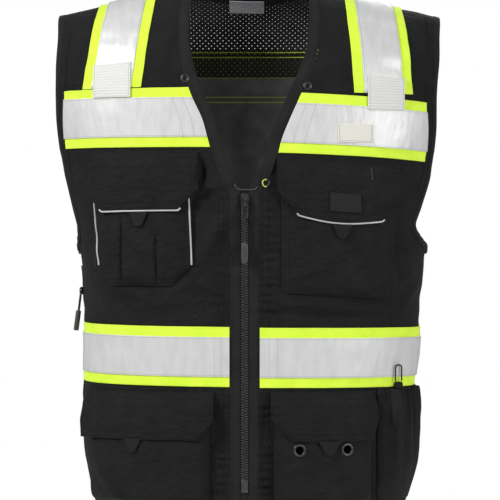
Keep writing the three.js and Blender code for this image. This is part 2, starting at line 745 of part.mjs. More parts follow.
function backBands() {
  const chest = (u, level, lift) => {
    const inset = endGap / backDepth;
    const right = -(2 * quarter - sideEdgeTurn("right", level) + inset);
    const left = 2 * quarter - sideEdgeTurn("left", level) + inset;
    return skin(u < 0.5 ? mix(right, -Math.PI, u * 2) : mix(Math.PI, left, u * 2 - 1), level, lift);
  };
  band(["back_chest_ribbon", "back_chest_tape"], steps(14), () => backChestTop, chest, 3);
  const waist = (u, level, lift) => {
    const right = -(quarter + sideInset("right"));
    const left = quarter + sideInset("left");
    return skin(u < 0.5 ? mix(right, -Math.PI, u * 2) : mix(Math.PI, left, u * 2 - 1), level, lift);
  };
  band(["back_waist_ribbon", "back_waist_tape"], steps(22), () => hem + backWaistRise, waist);
}

// The middle of a shoulder band at the front's foot, the ridge and the back's foot, as shares of the
// shoulder's half width.
const shoulderLine = { right: [0.702, 0.63, 0.66], left: [0.687, 0.648, 0.66] };
function shoulderBand(side) {
  const sign = side === "right" ? -1 : 1;
  const [foot, top, rear] = shoulderLine[side].map((share) => sign * share * shoulderHalfWidth);
  const frontFoot = Math.max(...chestTop[side]) + layerGap;
  const frontLevels = [frontFoot, ...capLevels.filter((level) => level > frontFoot + 1).reverse()];
  const rearFoot = backChestTop + layerGap;
  const backLevels = [...capLevels.slice(1).filter((level) => level > rearFoot + 1), rearFoot];
  const rows = [
    ...frontLevels.map((level) => ({ face: 1, level, middle: mix(top, foot, level / frontFoot) })),
    ...backLevels.map((level) => ({ face: -1, level, middle: mix(top, rear, level / rearFoot) })),
  ];
  const at = (lift) => (u, row) => {
    const x = row.middle + sign * (u - 0.5) * ribbonWidth;
    return skin(turnAt(x, row.level, row.face), row.level, lift);
  };
  const columns = [0, tapeShare, 0.5, 1 - tapeShare, 1];
  addMesh("shoulder_ribbon_" + side, clothShell(columns, rows, at(ribbonLift), ribbonWall), bright);
  addMesh("shoulder_tape_" + side, clothShell(columns.slice(1, 4), rows, at(tapeLift), ribbonWall), silver);
}

// How far a pocket's front stands off the body: u across, v down. It leans out from its mouth to the
// middle of its height and closes at its sides and foot.
function pocketLift(pocket, u, v) {
  const across = 1 - Math.abs(2 * u - 1) ** pocket.steep;
  const lean = mix(pocket.mouth, 1, clamp(2 * v));
  const foot = 1 - clamp(2 * v - 1) ** pocket.steep;
  return layerGap + flapWall + pocket.bulge * across * lean * foot;
}

// The place of a pocket's u and v. Its lower corners are cut off by its chamfer.
function pocketPlace(pocket, u, v) {
  const width = Math.abs(pocket.outer - pocket.inner);
  const cut = Math.max(0, v * pocket.height - pocket.height + pocket.chamfer) / width;
  const share = mix(cut, 1 - cut, u);
  return {
    x: mix(pocket.inner, pocket.outer, share),
    level: pocket.top + pocket.tilt * share - v * pocket.height,
  };
}

function pocketShell(pocket) {
  const edge = 0.25 / pocket.steep;
  const columns = [0, edge, 3 * edge, ...steps(4, 0.21, 0.79), 1 - 3 * edge, 1 - edge, 1];
  const corner = 1 - pocket.chamfer / pocket.height;
  const rows = [0, 0.25, 0.5, 0.5 + (corner - 0.5) / 2, corner, mix(corner, 1, 0.7), 1];
  const at = (u, v) => {
    const { x, level } = pocketPlace(pocket, u, v);
    return onFront(x, level, pocketLift(pocket, u, v));
  };
  return clothShell(columns, rows, at, flapWall, true);
}

// A flap's outer face over its pocket: it rises from its sewn upper edge to the pocket's mouth and then
// lies on the pocket's front.
function flapLift(flap, v) {
  const down = v * flap.drop;
  const stack = (share) => pocketLift(flap.pocket, 0.5, share) + layerGap + flapWall;
  if (down < flapSewn) return mix(layerGap + flapWall, stack(0), down / flapSewn);
  return stack((down - flapSewn) / flap.pocket.height);
}
function flapPlace(flap, u, v) {
  const { inner, outer, top, tilt } = flap.pocket;
  const sign = Math.sign(outer - inner);
  const width = Math.abs(outer - inner) + 2 * flap.overhang;
  const cut = Math.max(0, v * flap.drop - flap.drop + flap.chamfer) / width;
  const share = mix(cut, 1 - cut, u);
  const belly = flap.round * Math.sin(Math.PI * u) * clamp(2 * v - 1);
  return {
    x: inner - sign * flap.overhang + sign * width * share,
    level: top + flapSewn + tilt * share - v * flap.drop - belly,
  };
}
function flapPoint(flap, u, v, more = 0) {
  const { x, level } = flapPlace(flap, u, v);
  return onFront(x, level, flapLift(flap, v) + more);
}
const flapColumns = [0, 0.1, 0.26, 0.42, 0.58, 0.74, 0.9, 1];
const flapRows = (flap) => {
  const sewn = flapSewn / flap.drop;
  const corner = 1 - flap.chamfer / flap.drop;
  return [0, sewn, mix(sewn, corner, 0.5), corner, mix(corner, 1, 0.5), 1];
};
const flapShell = (flap) =>
  clothShell(flapColumns, flapRows(flap), (u, v) => flapPoint(flap, u, v), flapWall, true);

// The pointed pull tab that hangs from under a flap's lower edge.
function pullTab(name, flap, share, width, length, clear = seamGap) {
  const start = flapPlace(flap, share, 1);
  const middle = start.x;
  const at = (u, v) => {
    const x = middle + (u - 0.5) * width * mix(1, 0.14, v);
    const level = start.level - clear - v * length;
    const down = (flap.pocket.top + flap.pocket.tilt * share - level) / flap.pocket.height;
    return onFront(x, level, pocketLift(flap.pocket, 0.5, down) + layerGap + patchWall);
  };
  addMesh(name, clothShell([0, 0.5, 1], [0, 0.5, 1], at, patchWall), rubber);
}

// The reflective piping round a flap's lower edge.
function flapPiping(name, flap, from) {
  const drops = [from, ...flapRows(flap).filter((v) => v > from + 0.05)];
  const path = [
    ...drops.map((v) => [0, v]),
    ...flapColumns.slice(1).map((u) => [u, 1]),
    ...drops.slice(0, -1).reverse().map((v) => [1, v]),
  ].map(([u, v]) => flapPoint(flap, u, v, -flapWall));
  const sign = Math.sign(flap.pocket.outer - flap.pocket.inner);
  const section = roundSection(pipingWidth, sign * (pipingWidth / 2 + seamGap));
  addMesh(name, barAlong(path, section), piping);
}

// The piping down one side of the right chest pocket.
function sidePiping(name, sign) {
  const { inner, outer, top, height, chamfer } = chestRight;
  const edge = sign > 0 ? inner : outer;
  const levels = steps(5, top - height * 0.3, top - height + chamfer);
  const path = levels.map((level) => onFront(edge, level, layerGap));
  const section = roundSection(pipingWidth, -sign * (pipingWidth / 2 + seamGap));
  addMesh(name, barAlong(path, section), piping);
}

function patch(name, finish, x, level, width, height, lift, wall = patchWall, columns = 3) {
  const at = (u, v) => onFront(x + (u - 0.5) * width, level - v * height, lift);
  addMesh(name, clothShell(steps(columns), steps(3), at, wall), finish);
}

function chestPockets() {
  const clear = pipingWidth + 3 * seamGap;
  addMesh("chest_pocket_right", pocketShell(chestRight), cloth);
  addMesh("chest_flap_right", flapShell(chestFlapRight), cloth);
  flapPiping("chest_piping_right", chestFlapRight, 0.92);
  pullTab("chest_tab_right", chestFlapRight, 0.52, 22, 17, clear);
  sidePiping("side_piping_outer", -1);
  sidePiping("side_piping_inner", 1);
  addMesh("chest_pocket_left", pocketShell(chestLeft), cloth);
  addMesh("chest_flap_left", flapShell(chestFlapLeft), cloth);
  flapPiping("chest_piping_left", chestFlapLeft, 0.92);
  pullTab("chest_tab_left", chestFlapLeft, 0.52, 24, 17, clear);
  const share = 0.54;
  const at = (u, v) => {
    const across = share + (u - 0.5) * 0.31;
    return flapPoint(chestFlapLeft, across, mix(0.56, 0.84, v), layerGap + patchWall);
  };
  addMesh("loop_patch", clothShell(steps(2), steps(2), at, patchWall), rubber);
}

// A metal ring on the left lower pocket: a lathe turned to face straight out of the pocket's front. It
// returns the round tool that cuts its hole.
function grommet(name, u, v) {
  const on = (across, down) => {
    const { x, level } = pocketPlace(lowerLeft, across, down);
    return onFront(x, level, pocketLift(lowerLeft, across, down));
  };
  const e = 0.02;
  const across = on(u + e, v).sub(on(u - e, v));
  const out = on(u, v + e).sub(on(u, v - e)).cross(across).normalize();
  const middle = on(u, v);
  const barrel = grommetHole + 1;
  const profile = [
    [grommetHole, -flapWall],
    [barrel, -flapWall],
    [barrel, seamGap],
    [grommetRadius, seamGap],
    [grommetRadius - 1, seamGap + grommetLip],
    [grommetHole, seamGap + grommetLip],
    [grommetHole, -flapWall],
  ];
  const points = profile.map(([radius, height]) => new THREE.Vector2(radius, height));
  const facing = new THREE.Quaternion().setFromUnitVectors(new THREE.Vector3(0, 1, 0), out);
  const ring = new THREE.LatheGeometry(points, 12).applyQuaternion(facing);
  ring.translate(middle.x, middle.y, middle.z);
  addMesh(name, facingOut([...ring.attributes.position.array], [...ring.index.array]), metal);
  const hole = new THREE.CylinderGeometry(barrel + seamGap, barrel + seamGap, 12, 12);
  return hole.applyQuaternion(facing).translate(middle.x, middle.y, middle.z);
}

function lowerPockets() {
  addMesh("lower_pocket_right", pocketShell(lowerRight), cloth);
  addMesh("lower_flap_right", flapShell(lowerFlapRight), cloth);
  pullTab("lower_tab_right", lowerFlapRight, 0.6, 20, 17);
  addMesh("lower_flap_left", flapShell(lowerFlapLeft), cloth);
  pullTab("lower_tab_left", lowerFlapLeft, 0.52, 26, 17);
  const width = lowerLeft.outer - lowerLeft.inner;
  const v = (lowerFlapLeft.drop - flapSewn + grommetDrop) / lowerLeft.height;
  let body = solidOf(pocketShell(lowerLeft));
  for (const [name, sign] of [["grommet_inner", -1], ["grommet_outer", 1]]) {
    body = body.subtract(solidOf(grommet(name, 0.485 + (sign * grommetSpacing) / 2 / width, v)));
  }
  addMesh("lower_pocket_left", geometryOf(body), cloth);
}

// The stretch pocket round the left side, gathered at its elastic mouth.
const bottleStart = 161;
const bottleRear = 0.32; // how far past the side seam it reaches, as a turn
const bottleTop = hem + bottleHeight + 4;
function bottleTurn(u, level) {
  return mix(turnAt(bottleStart, level), quarter + bottleRear, u);
}
function bottleLift(u, v) {
  const across = 1 - Math.abs(2 * u - 1) ** 6;
  const belly = mix(bottleGap, bottleBulge, Math.sin(Math.PI * clamp(v * 0.9 + 0.1)));
  const foot = 1 - v ** 8;
  const ruffle = gatherDepth * Math.cos(2 * Math.PI * gathers * u) * (1 - v) ** 2;
  return layerGap + flapWall + across * (foot * belly + ruffle);
}
function bottlePocket() {
  const columns = steps(3 * gathers);
  const rows = [0, 0.14, 0.45, 0.88, 1];
  const at = (u, v) => {
    const level = bottleTop - v * bottleHeight;
    return skin(bottleTurn(u, level), level, bottleLift(u, v));
  };
  addMesh("bottle_pocket", clothShell(columns, rows, at, flapWall, true), cloth);
}

// The webbing tab on the bottle pocket, the cord lock on its mouth and the loop of draw cord above that.
const lockShare = 3.5 / (3 * gathers);
function bottleWebbing() {
  const width = 1 / gathers;
  const length = 48;
  const at = (u, v) => {
    const across = lockShare + (u - 0.5) * width;
    const level = bottleTop - seamGap - v * length;
    const lift = bottleLift(across, (bottleTop - level) / bottleHeight) + layerGap + patchWall;
    return skin(bottleTurn(across, level), level, lift);
  };
  addMesh("bottle_webbing", clothShell(steps(3), [0, 0.36, 1], at, patchWall), olive);
}

// A place above the bottle pocket's mouth: beside the lock's middle by x, and up from the mouth.
const lockLift = ribbonLift + layerGap + lockDepth / 2 + 0.8;
function aboveMouth(beside, up, lift) {
  const level = bottleTop + up;
  const middle = skin(bottleTurn(lockShare, bottleTop), bottleTop).x;
  return onFront(middle + beside, level, lift);
}
function cordLock() {
  const corners = [
    [-lockWidth / 2, 0],
    [lockWidth / 2, 0],
    [lockWidth / 2, lockHeight * 0.7],
    [lockWidth / 3, lockHeight],
    [-lockWidth / 3, lockHeight],
    [-lockWidth / 2, lockHeight * 0.7],
  ];
  const lock = new THREE.Shape(corners.map(([x, y]) => new THREE.Vector2(x, y)));
  const geometry = new THREE.ExtrudeGeometry(lock, { depth: lockDepth, bevelEnabled: false });
  const foot = aboveMouth(0, seamGap, lockLift);
  const out = outward(foot);
  geometry.translate(0, 0, -lockDepth / 2).rotateX(quarter);
  geometry.rotateZ(Math.atan2(out.x, -out.y)).translate(foot.x, foot.y, foot.z);
  addMesh("cord_lock", geometry, rubber);
}

// The loop stands on its two ends: a leg on each side and a half circle over them.
function drawCord() {
  const foot = seamGap * 3 + lockHeight;
  const half = loopWidth / 2;
  const shoulder = foot + loopRise - half;
  const leg = steps(4, foot, shoulder).slice(0, -1);
  const route = [
    ...leg.map((up) => [-half, up]),
    ...steps(6).map((t) => [-half * Math.cos(Math.PI * t), shoulder + half * Math.sin(Math.PI * t)]),
    ...leg.reverse().map((up) => [half, up]),
  ].map(([beside, up]) => aboveMouth(beside, up, lockLift));
  roundCord("draw_cord", new THREE.CatmullRomCurve3(route), 24, cordWidth, edging);
}

// The ribbed loops on the shoulder tapes, the patch on the left chest tape and the label in the neck.
function trims() {
  for (const [name, { x, top, width, height, finish }] of Object.entries(trimPlaces)) {
    patch(name, finish, x, top, width, height, patchLift);
  }
  const inside = -clothWall - edgeSink - layerGap - patchWall;
  const at = (u, v) => {
    const level = -backNeckDepth + labelRise - labelHeight * v;
    const x = labelX + (u - 0.5) * labelWidth;
    return skin(turnAt(Math.abs(x), level, -1) * Math.sign(x), level, inside);
  };
  addMesh("neck_label", clothShell([0, 0.5001, 1], steps(3), at, -patchWall), cream);
}

// The zip over the right side seam, and the cord and grip on its slider.
function sideZip() {
  const half = sideChainWidth / 2;
  const path = steps(12, -sideZipDrop, hem + endGap).map((level) => skin(-quarter, level));
  const low = layerGap;
  const section = [
    [-half, low],
    [half, low],
    [half, low + sideChainWall],
    [-half, low + sideChainWall],
  ];
  const chain = solidOf(barAlong(path, section));
  const top = skin(-quarter, -sideSliderDrop, low + sideChainWall / 2);
  const body = new THREE.BoxGeometry(5, sideChainWidth + 2, sideSliderHeight);
  body.translate(top.x - 2.2, top.y, top.z - sideSliderHeight / 2);
  addMesh("side_zip", geometryOf(chain.add(solidOf(body))), metal);
  const start = new THREE.Vector3(top.x - 3.4, top.y, top.z - sideSliderHeight - seamGap);
  const run = (length) => new THREE.Vector3(start.x - length * sidePullLean, start.y, start.z - length);
  const cordEnd = run(sideCordLength);
  hangingCord("side_pull_cord", start, cordEnd, sideCordWidth, edging);
  const gripStart = run(sideCordLength + seamGap);
  const gripEnd = run(sideCordLength + seamGap + sideGripLength);
  hangingCord("side_pull_grip", gripStart, gripEnd, sideGripWidth, rubber);
}

for (const side of ["right", "left"]) {
  frontPanel(side);
  armBinding(side);
  placket(side);
  chestBand(side);
  waistBand(side);
  shoulderBand(side);
}
backMesh();
backPanel();
backBands();
neckFacing();
zipChain();
slider();
frontPull();
chestPockets();
lowerPockets();
bottlePocket();
bottleWebbing();
cordLock();
drawCord();
trims();
sideZip();

export default group;
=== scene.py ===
# %% [markdown]
# # A utility work vest
#
# This lesson dresses the plain solids of a work vest: dark twill cloth, reflective bands with bright
# edges, pockets with flaps, a front zip and a mesh yoke. The frame gives the solids and their sizes.
# Every soft solid is replaced by a finer piece that lies where the solid lay.

import math
import bmesh
import bpy
import numpy as np
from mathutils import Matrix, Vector


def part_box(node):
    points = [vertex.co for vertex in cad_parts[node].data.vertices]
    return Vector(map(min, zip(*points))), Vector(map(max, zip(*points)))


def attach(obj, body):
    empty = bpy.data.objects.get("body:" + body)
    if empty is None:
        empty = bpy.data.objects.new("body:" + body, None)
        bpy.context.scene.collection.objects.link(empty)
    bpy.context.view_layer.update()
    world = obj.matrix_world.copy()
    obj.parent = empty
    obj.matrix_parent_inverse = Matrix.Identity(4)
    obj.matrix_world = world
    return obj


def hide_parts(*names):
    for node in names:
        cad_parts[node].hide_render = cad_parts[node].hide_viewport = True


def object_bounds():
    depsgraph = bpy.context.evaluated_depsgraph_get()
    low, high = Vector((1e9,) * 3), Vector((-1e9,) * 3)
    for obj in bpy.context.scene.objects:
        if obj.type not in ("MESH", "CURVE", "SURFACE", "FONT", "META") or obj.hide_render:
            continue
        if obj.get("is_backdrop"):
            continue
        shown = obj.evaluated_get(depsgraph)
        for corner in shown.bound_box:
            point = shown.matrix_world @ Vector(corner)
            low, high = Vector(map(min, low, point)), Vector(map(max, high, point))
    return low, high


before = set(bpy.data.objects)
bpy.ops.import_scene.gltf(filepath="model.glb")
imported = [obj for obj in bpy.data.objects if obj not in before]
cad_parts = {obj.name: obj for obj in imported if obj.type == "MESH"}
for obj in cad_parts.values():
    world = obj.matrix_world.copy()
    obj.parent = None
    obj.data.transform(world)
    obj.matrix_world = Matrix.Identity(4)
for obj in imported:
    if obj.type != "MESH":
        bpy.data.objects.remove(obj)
cad_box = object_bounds()
print("nodes in the frame:", len(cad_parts))

# %% [markdown]
# ## Camera and light
#
# The photograph was taken from straight ahead with a long lens, so the sides hardly turn in. The camera
# stands 2.6 m in front of the vest. A white surround lights it softly, two lamps in front model the folds
# and a third one lights the back.

# %% Camera
def linked(name, data):
    """A new object of the scene."""
    made = bpy.data.objects.new(name, data)
    bpy.context.scene.collection.objects.link(made)
    return made


CAMERA_BACK = 2.6
CAMERA_HEIGHT = -0.345
LENS = 143.3
SENSOR = 36  # mm, as the lens
camera = linked("camera", bpy.data.cameras.new("camera"))
camera.data.lens = LENS
camera.data.sensor_width = SENSOR
camera.data.shift_x = 0.002
camera.location = (0, -CAMERA_BACK, CAMERA_HEIGHT)
camera.rotation_euler = (math.pi / 2, 0, 0)
bpy.context.scene.camera = camera
bpy.context.scene.view_settings.view_transform = "Standard"
print("camera at", tuple(camera.location), "lens", LENS)


# %% Helpers for node trees
def add(tree, kind, inputs=None, **settings):
    """Adds a node, sets its settings, and fills its inputs with values or with other nodes' outputs."""
    made = tree.nodes.new(kind)
    for name, value in settings.items():
        setattr(made, name, value)
    for name, value in (inputs or {}).items():
        if isinstance(value, bpy.types.NodeSocket):
            tree.links.new(value, made.inputs[name])
        else:
            made.inputs[name].default_value = value
    return made


def maths(tree, kind, *values):
    """The result of a Math node on numbers or other nodes' outputs."""
    return add(tree, "ShaderNodeMath", dict(enumerate(values)), operation=kind).outputs[0]


# %% Light
FLOOR_RADIUS = 1.1
FLOOR_LEVEL = -0.97


def lamp(name, place, size, power):
    """A square lamp that faces the middle of the vest."""
    light = bpy.data.lights.new(name, "AREA")
    light.size = size
    light.energy = power
    made = linked(name, light)
    made.location = place
    aim = Vector((0, 0, CAMERA_HEIGHT)) - Vector(place)
    made.rotation_euler = aim.to_track_quat("-Z", "Y").to_euler()


lamp("key_lamp", (-1.9, -1.6, 1.2), 0.7, 62)
lamp("fill_lamp", (1.9, -1.8, 0.2), 1.0, 30)
lamp("back_lamp", (0.6, 2.2, 1.0), 1.4, 22)

world = bpy.data.worlds.new("studio")
world.use_nodes = True
bpy.context.scene.world = world
tree = world.node_tree
tree.nodes.clear()
seen = add(tree, "ShaderNodeBackground", {"Color": (1, 1, 1, 1), "Strength": 1.0})
shining = add(tree, "ShaderNodeBackground", {"Color": (0.96, 0.98, 1, 1), "Strength": 0.3})
direct = add(tree, "ShaderNodeLightPath").outputs["Is Camera Ray"]
both = add(tree, "ShaderNodeMixShader", {0: direct, 1: shining.outputs[0], 2: seen.outputs[0]})
add(tree, "ShaderNodeOutputWorld", {"Surface": both.outputs[0]})

floor_place = (0, 0, FLOOR_LEVEL)
bpy.ops.mesh.primitive_circle_add(vertices=96, radius=FLOOR_RADIUS, fill_type="NGON", location=floor_place)
floor = bpy.context.object
floor.name = "floor"
paper = bpy.data.materials.new("pale_floor")
paper.use_nodes = True
paper_shader = paper.node_tree.nodes["Principled BSDF"].inputs
paper_shader["Base Color"].default_value = (0.9, 0.9, 0.9, 1)
paper_shader["Roughness"].default_value = 0.9
floor.data.materials.append(paper)
floor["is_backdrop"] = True

# %% [markdown]
# ## The shape of the worn vest
#
# All the cloth lies on one surface: rings of rounded-square outline, closed over the shoulders by a quarter
# ellipse. A place on it has a turn (0 at the middle of the front, a quarter circle at the side seam), a
# level (how far below the neck points, counted negative) and a lift off the cloth's outer face. Bands and
# pockets are the same surface at a greater lift, so they follow each fold under them. The sizes are
# the frame's own, in metres.

# %% Sizes of the body
VEST_LENGTH = 0.668
BODY_HALF_WIDTH = 0.22
FRONT_DEPTH = 0.12
BACK_DEPTH = 0.115
SHOULDER_RISE = 0.15
SHOULDER_HALF_WIDTH = 0.246
SHOULDER_DROP = 0.042
NECK_HALF_WIDTH = 0.077
NECK_DEPTH = 0.275
BACK_NECK_DEPTH = 0.016
ARMHOLE_DEPTH = 0.35
RING_POWER = 2.4
FOLD_DEPTH = 0.005
CLOTH_WALL = 0.0015
SEAM_GAP = 0.0004
EDGE_LIFT = 0.0008
HEM = -VEST_LENGTH
QUARTER = math.pi / 2

SECTIONS = [
    {"at": 0, "right": 1.227, "left": 1.227, "front": 0.983, "back": 0.974},
    {"at": 0.225, "right": 1.191, "left": 1.191, "front": 1.017, "back": 1.026},
    {"at": 0.374, "right": 1.109, "left": 1.109, "front": 1.067, "back": 1.043},
    {"at": 0.449, "right": 1.045, "left": 1.055, "front": 1.067, "back": 1.026},
    {"at": 0.516, "right": 0.991, "left": 1.036, "front": 1.042, "back": 0.991},
    {"at": 0.614, "right": 0.973, "left": 1.009, "front": 1, "back": 0.939},
    {"at": 0.704, "right": 0.968, "left": 1, "front": 0.975, "back": 0.913},
    {"at": 0.793, "right": 0.968, "left": 0.964, "front": 0.958, "back": 0.922},
    {"at": 0.898, "right": 0.95, "left": 0.95, "front": 0.942, "back": 0.939},
    {"at": 1, "right": 0.905, "left": 0.923, "front": 0.917, "back": 0.957},
]
NECK_EDGE = [
    {"at": 0, "right": 1.09, "left": 1.17},
    {"at": 0.19, "right": 1.155, "left": 1.16},
    {"at": 0.36, "right": 1.13, "left": 1.115},
    {"at": 0.47, "right": 1.018, "left": 0.944},
    {"at": 0.56, "right": 0.9, "left": 0.8},
    {"at": 0.66, "right": 0.735, "left": 0.64},
    {"at": 0.75, "right": 0.645, "left": 0.51},
    {"at": 0.85, "right": 0.545, "left": 0.415},
    {"at": 0.93, "right": 0.42, "left": 0.3},
    {"at": 1, "right": 0.312, "left": 0.143},
]
ARM_EDGE = [
    {"at": 0, "right": 0.56, "left": 0.55},
    {"at": 0.17, "right": 0.54, "left": 0.555},
    {"at": 0.42, "right": 0.48, "left": 0.55},
    {"at": 0.6, "right": 0.4, "left": 0.475},
    {"at": 0.72, "right": 0.38, "left": 0.445},
    {"at": 0.82, "right": 0.39, "left": 0.47},
    {"at": 0.9, "right": 0.375, "left": 0.52},
    {"at": 0.96, "right": 0.27, "left": 0.38},
    {"at": 1, "right": 0.012, "left": 0.012},
]
print("vest", VEST_LENGTH, "m long,", 2 * SHOULDER_HALF_WIDTH, "m over the shoulders")

# %% Folds of the cloth
# Columns: face (1 front, -1 back), middle x, middle level, half length, half width, height, lean in degrees.
# The broad folds' sizes are shares of the body's half width, the vest's length and the fold depth.
BROAD_FOLDS = [
    (1, -0.82, 0.575, 0.06, 0.09, 0.9, -38),
    (1, -0.66, 0.61, 0.04, 0.07, -0.6, -62),
    (1, -0.22, 0.5, 0.1, 0.09, 0.5, 12),
    (1, 0.2, 0.55, 0.1, 0.09, 0.6, -14),
    (1, 0.84, 0.565, 0.06, 0.1, 1, 42),
    (1, 0.72, 0.625, 0.04, 0.07, -0.6, 66),
    (-1, -0.6, 0.5, 0.12, 0.12, 1, -28),
    (-1, 0.6, 0.5, 0.12, 0.12, 1, 28),
    (-1, 0, 0.44, 0.14, 0.12, -0.8, 0),
    (-1, -0.45, 0.88, 0.08, 0.12, 0.8, 6),
    (-1, 0.42, 0.88, 0.08, 0.12, 0.8, -8),
]
# The fine folds' sizes are in metres, before their strength.
FINE_FOLDS = [
    (1, -0.043, -0.326, 0.034, 0.009, 0.0026, 32),
    (1, -0.041, -0.409, 0.022, 0.006, 0.0018, -42),
    (1, -0.050, -0.392, 0.020, 0.005, 0.0014, -68),
    (1, -0.042, -0.270, 0.018, 0.006, 0.0016, -62),
    (1, -0.054, -0.262, 0.030, 0.005, -0.0014, -13),
    (1, -0.190, -0.343, 0.026, 0.012, 0.0008, -40),
    (1, -0.180, -0.411, 0.026, 0.012, 0.0016, -38),
    (1, -0.143, -0.402, 0.022, 0.006, 0.0013, -73),
    (1, -0.100, -0.412, 0.034, 0.005, 0.0012, 84),
    (1, -0.205, -0.600, 0.050, 0.010, 0.0016, -12),
    (1, 0.060, -0.413, 0.046, 0.0045, 0.0018, 86),
    (1, 0.135, -0.419, 0.046, 0.0045, 0.0016, 93),
    (1, 0.090, -0.426, 0.050, 0.004, -0.0012, 90),
    (1, 0.195, -0.350, 0.050, 0.010, 0.0018, -8),
    (1, 0.205, -0.400, 0.024, 0.007, 0.0014, 30),
    (1, 0.024, -0.245, 0.016, 0.005, 0.0012, 40),
    (1, 0.106, -0.100, 0.034, 0.008, 0.0016, -24),
    (1, -0.105, -0.095, 0.034, 0.008, 0.0012, 18),
    (1, -0.223, -0.110, 0.040, 0.006, 0.0012, 4),
    (1, -0.061, -0.253, 0.020, 0.006, -0.0022, 10),
    (1, -0.045, -0.274, 0.022, 0.005, -0.0018, 80),
    (1, -0.131, -0.333, 0.032, 0.009, 0.0018, -38),
    (1, -0.093, -0.335, 0.034, 0.009, 0.0020, -35),
    (1, -0.050, -0.386, 0.030, 0.006, 0.0016, -52),
    (1, -0.161, -0.398, 0.014, 0.005, 0.0013, -35),
    (1, -0.098, -0.404, 0.020, 0.007, 0.0014, 40),
    (1, 0.076, -0.283, 0.016, 0.007, -0.0012, -36),
    (1, 0.168, -0.281, 0.018, 0.006, 0.0012, 55),
    (1, 0.072, -0.373, 0.032, 0.006, 0.0013, 76),
    (1, 0.073, -0.411, 0.040, 0.006, 0.0018, -81),
    (1, 0.150, -0.405, 0.034, 0.005, -0.0016, 88),
    (1, -0.175, -0.620, 0.040, 0.009, 0.0018, -26),
    (1, -0.126, -0.627, 0.014, 0.006, -0.0015, -20),
    (1, -0.065, -0.542, 0.020, 0.006, 0.0016, -17),
    (1, 0.060, -0.617, 0.020, 0.008, 0.0012, 85),
    (1, 0.222, -0.100, 0.030, 0.006, 0.0012, -6),
    (-1, -0.12, -0.34, 0.070, 0.010, 0.0030, -35),
    (-1, 0.12, -0.35, 0.070, 0.010, 0.0030, 35),
    (-1, -0.07, -0.40, 0.060, 0.008, 0.0024, -58),
    (-1, 0.08, -0.41, 0.060, 0.008, 0.0024, 55),
    (-1, 0.03, -0.27, 0.050, 0.010, 0.0020, 10),
    (-1, -0.14, -0.58, 0.060, 0.010, 0.0022, 12),
    (-1, 0.02, -0.60, 0.060, 0.012, 0.0022, -6),
    (-1, 0.15, -0.57, 0.060, 0.010, 0.0022, -14),
]
FINE_STRENGTH = 2.4
BAND_LEVELS = ((-0.222, -0.142), (-0.517, -0.440))
BAND_STIFFNESS = 0.72
SOFT_END = 0.012
PUCKERS = [
    # middle x, half width, upper and lower level, spacing, height
    (0.027, 0.010, -0.285, -0.432, 0.0105, 0.0011),
    (-0.036, 0.010, -0.300, -0.425, 0.0125, 0.0005),
    (0.021, 0.008, -0.535, -0.662, 0.0100, 0.0011),
    (-0.034, 0.008, -0.530, -0.662, 0.0110, 0.0009),
]


# %% The smooth surface
def power(value, exponent):
    return np.sign(value) * np.abs(value) ** exponent


def mix(a, b, t):
    return a + (b - a) * t


def along(table, column, at):
    """A column's value between the table's rows, by a cubic that is smooth across each row."""
    rows = np.array([row["at"] for row in table])
    values = np.array([row[column] for row in table])
    i = np.clip(np.searchsorted(rows, at) - 1, 0, len(rows) - 2)
    before = np.maximum(i - 1, 0)
    after = np.minimum(i + 2, len(rows) - 1)
    span = rows[i + 1] - rows[i]
    start = (values[i + 1] - values[before]) / (rows[i + 1] - rows[before]) * span
    end = (values[after] - values[i]) / (rows[after] - rows[i]) * span
    t = np.clip((at - rows[i]) / span, 0, 1)
    bend = start * t * (1 - t) ** 2 - end * t * t * (1 - t)
    return mix(values[i], values[i + 1], t * t * (3 - 2 * t)) + bend


def half_width(x, level):
    share = -np.asarray(level) / VEST_LENGTH
    sides = along(SECTIONS, "right", share), along(SECTIONS, "left", share)
    return BODY_HALF_WIDTH * np.where(np.asarray(x) < 0, *sides)


def depth_of(front, level):
    share = -np.asarray(level) / VEST_LENGTH
    fore = FRONT_DEPTH * along(SECTIONS, "front", share)
    rear = BACK_DEPTH * along(SECTIONS, "back", share)
    return np.where(front, fore, rear)


def roof(x):
    """The height of the shoulders' ridge."""
    past = np.maximum(np.abs(x) - NECK_HALF_WIDTH, 0)
    return -SHOULDER_DROP * past / (SHOULDER_HALF_WIDTH - NECK_HALF_WIDTH)


def outside(p):
    """Negative inside the vest, zero on its surface and positive outside."""
    x, y, z = p[..., 0], p[..., 1], p[..., 2]
    share = np.maximum(0, (z + SHOULDER_RISE) / (roof(x) + SHOULDER_RISE))
    level = np.where(share > 0, SHOULDER_RISE * (share - 1), z)
    across = 1 - (np.abs(x) / half_width(x, level)) ** RING_POWER
    reach = power(across, 2 / RING_POWER) * (1 - share * share)
    return (y / depth_of(y < 0, level)) ** 2 - reach


def outward(p):
    """The direction straight out of the cloth."""
    steps = np.eye(3) * 0.0005
    rise = [outside(p + step) - outside(p - step) for step in steps]
    normal = np.stack(rise, axis=-1)
    return normal / np.linalg.norm(normal, axis=-1, keepdims=True)


# %% [markdown]
# Cloth that is worn is never smooth. Broad folds come from the frame. Fine ones are long, low ridges where
# the photograph shows them, small puckers along the seams, and a little unevenness from smooth noise,
# which is held back under the stiff bands.

# %% Folds
NOISE_CELLS = 97
random_heights = np.random.default_rng(7).random((NOISE_CELLS, NOISE_CELLS))


